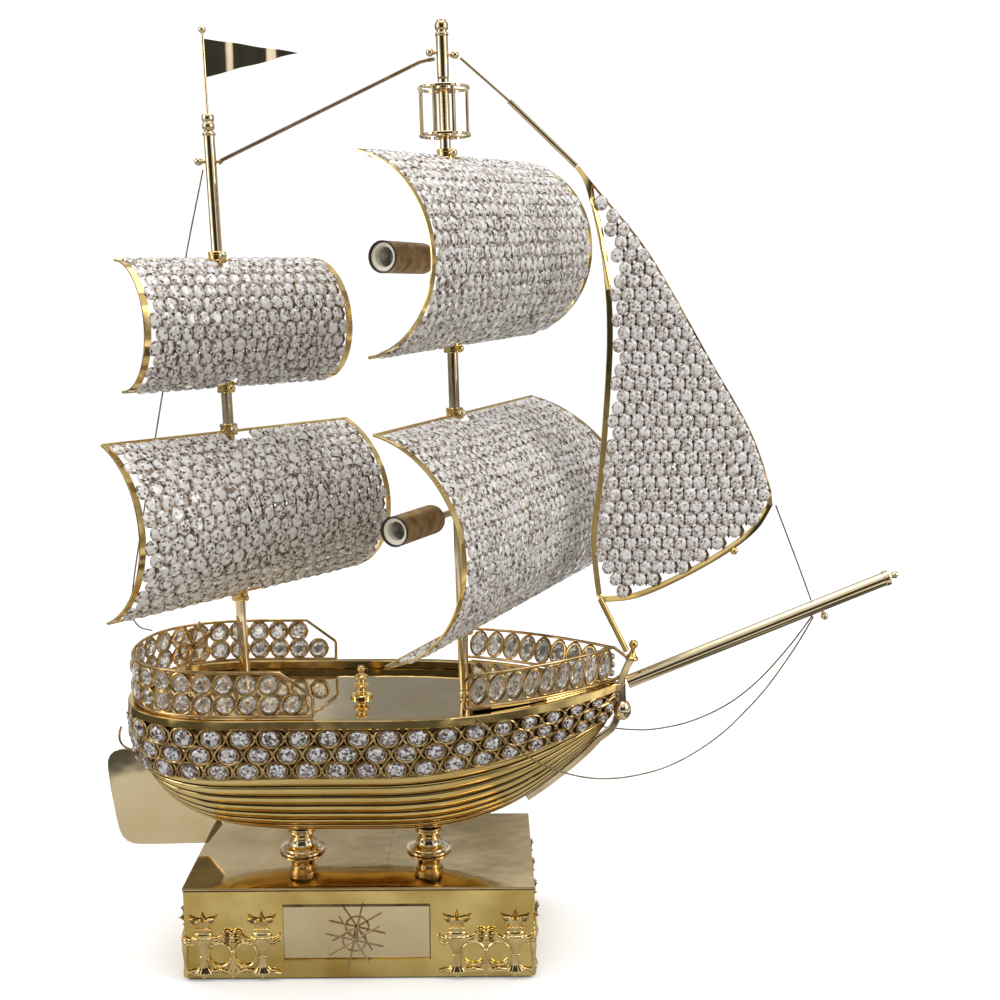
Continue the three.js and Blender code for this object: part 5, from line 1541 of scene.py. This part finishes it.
def make_floor():
    """Plain white to the camera. Light Path shows gloss and glass painted rings of light and shade instead.
    """
    mesh = bpy.data.meshes.new("floor")
    mesh.from_pydata([(-14, -6, 0), (14, -6, 0), (14, 26, 0), (-14, 26, 0)], [], [(0, 1, 2, 3)])
    material, tree, shader = nodes_of("floor_paper")
    shader.inputs["Roughness"].default_value = 0.9
    shader.inputs["Specular IOR Level"].default_value = 0.1
    tint = tree.nodes.new("ShaderNodeMix")
    tint.data_type = "RGBA"
    place = tree.nodes.new("ShaderNodeTexCoord")
    reach = tree.nodes.new("ShaderNodeVectorMath")
    reach.operation = "LENGTH"
    tree.links.new(place.outputs["Object"], reach.inputs[0])
    uneven = smooth(tree, noise(tree, 3.2, 3), 0.3, 0.7, -0.16, 0.16)
    ragged = math_node(tree, "ADD", reach.outputs["Value"], uneven)
    # Dark and light rings round the object, seen only by gloss and glass: painted shade and painted light on
    # the floor.
    distances, levels = zip((0.0, 0.41), (0.24, 0.41), (0.31, 0.05), (0.48, 0.05), (0.56, 0.85), (0.8, 0.2))
    warm = [(level, level * 0.98, level * 0.93) for level in levels]
    pool = colour_ramp(tree, math_node(tree, "MULTIPLY", ragged, 0.5), distances, warm)
    tree.links.new(pool, tint.inputs["A"])
    tint.inputs["B"].default_value = (0.99, 0.99, 0.99, 1)
    tree.links.new(tree.nodes.new("ShaderNodeLightPath").outputs["Is Camera Ray"], tint.inputs["Factor"])
    tree.links.new(tint.outputs["Result"], shader.inputs["Base Color"])
    mesh.materials.append(material)
    floor = bpy.data.objects.new("floor", mesh)
    bpy.context.scene.collection.objects.link(floor)


def smooth(tree, value, low, high, start=0.0, end=1.0):
    ranged = tree.nodes.new("ShaderNodeMapRange")
    ranged.interpolation_type = "SMOOTHSTEP"
    for name, number in (("From Min", low), ("From Max", high), ("To Min", start), ("To Max", end)):
        ranged.inputs[name].default_value = number
    tree.links.new(value, ranged.inputs["Value"])
    return ranged.outputs["Result"]


def math_node(tree, operation, a, b):
    node = tree.nodes.new("ShaderNodeMath")
    node.operation = operation
    for socket, value in zip(node.inputs, (a, b)):
        if isinstance(value, (int, float)):
            socket.default_value = value
        else:
            tree.links.new(value, socket)
    return node.outputs[0]


def make_world():
    """White to the camera, even for matt surfaces. Gloss and glass see a dim room with bright openings."""
    world = bpy.data.worlds.new("studio")
    world.use_nodes = True
    tree = world.node_tree
    direction = tree.nodes.new("ShaderNodeTexCoord").outputs["Generated"]
    parts = tree.nodes.new("ShaderNodeSeparateXYZ")
    tree.links.new(direction, parts.inputs[0])
    x, y, z = parts.outputs
    openings = tree.nodes.new("ShaderNodeTexNoise")
    openings.inputs["Scale"].default_value = 2.6
    openings.inputs["Detail"].default_value = 1.0
    tree.links.new(direction, openings.inputs["Vector"])
    clouds = smooth(tree, openings.outputs["Fac"], 0.44, 0.58, 0.32, 0.85)
    aside = math_node(tree, "ABSOLUTE", x, 0)
    edges, levels = zip(
        (0.0, 0.05), (0.53, 0.06), (0.61, 1.2), (0.75, 1.3), (0.81, 0.10), (0.90, 0.14), (0.96, 0.9)
    )
    screens = colour_ramp(tree, aside, edges, [(level, level, level) for level in levels])
    front = math_node(tree, "MULTIPLY", smooth(tree, y, -0.1, -0.4), smooth(tree, z, 0.35, 0.6, 1, 0))
    behind = math_node(tree, "MULTIPLY", clouds, math_node(tree, "SUBTRACT", 1, front))
    ahead = math_node(tree, "MULTIPLY", screens, front)
    room = math_node(tree, "ADD", behind, ahead)
    ceiling = smooth(tree, z, 0.3, 0.8, 0.0, 0.4)
    path = tree.nodes.new("ShaderNodeLightPath")
    glass = math_node(tree, "MULTIPLY", path.outputs["Is Transmission Ray"], 0.35)
    light = math_node(tree, "ADD", math_node(tree, "ADD", room, ceiling), glass)
    seen = tree.nodes["Background"]
    seen.inputs["Color"].default_value = (1, 1, 1, 1)
    seen.inputs["Strength"].default_value = 1.12
    lit = tree.nodes.new("ShaderNodeBackground")
    tree.links.new(light, lit.inputs["Strength"])
    plain = math_node(tree, "MAXIMUM", path.outputs["Is Camera Ray"], path.outputs["Is Diffuse Ray"])
    mix = tree.nodes.new("ShaderNodeMixShader")
    tree.links.new(plain, mix.inputs["Fac"])
    tree.links.new(lit.outputs[0], mix.inputs[1])
    tree.links.new(seen.outputs[0], mix.inputs[2])
    tree.links.new(mix.outputs[0], tree.nodes["World Output"].inputs["Surface"])
    bpy.context.scene.world = world


def make_lights():
    for name, place, size, watts in (
        ("top", (0.1, 0.1, 2.3), (1.8, 1.2), 16),
        ("left", (-2.1, -0.9, 1.3), (0.7, 1.8), 14),
        ("right", (2.2, -0.8, 1.3), (0.7, 1.8), 14),
    ):
        data = bpy.data.lights.new(name, "AREA")
        data.shape = "RECTANGLE"
        data.size, data.size_y = size
        data.energy = watts
        lamp = bpy.data.objects.new(name, data)
        lamp.location = place
        aim = Vector((0, 0, 0.4)) - Vector(place)
        lamp.rotation_euler = aim.to_track_quat("-Z", "Y").to_euler()
        bpy.context.scene.collection.objects.link(lamp)


KEPT_NODES = {
    "mirror_brass": ("main_deck", "fore_deck", "bottom_plate"),
    "felt": ("felt_pad",),
    "black_plastic": ("terminal_block",),
    "plated_steel": ("tie_rod_aft", "tie_rod_fore"),
}


def finish_kept_nodes():
    for material, names in KEPT_NODES.items():
        for name in names:
            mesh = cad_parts[name].data
            mesh.materials.clear()
            mesh.materials.append(MATERIALS[material])


make_camera()
make_cords()
make_base()
make_emblem()
make_castings()
make_pedestals()
make_hull()
make_hull_crystals()
make_aft_rail()
make_fore_rail()
make_stem()
make_rudder()
make_stern_hooks()
make_deck_fittings()
make_masts()
make_crows_nest()
make_pennant()
make_bowsprit()
make_stays()
make_jib()
for sail_name, sail_shape in SAILS.items():
    make_sail(sail_name, sail_shape)
make_lampholders()
finish_kept_nodes()
make_floor()
make_world()
make_lights()
bpy.context.scene.view_settings.view_transform = "Standard"
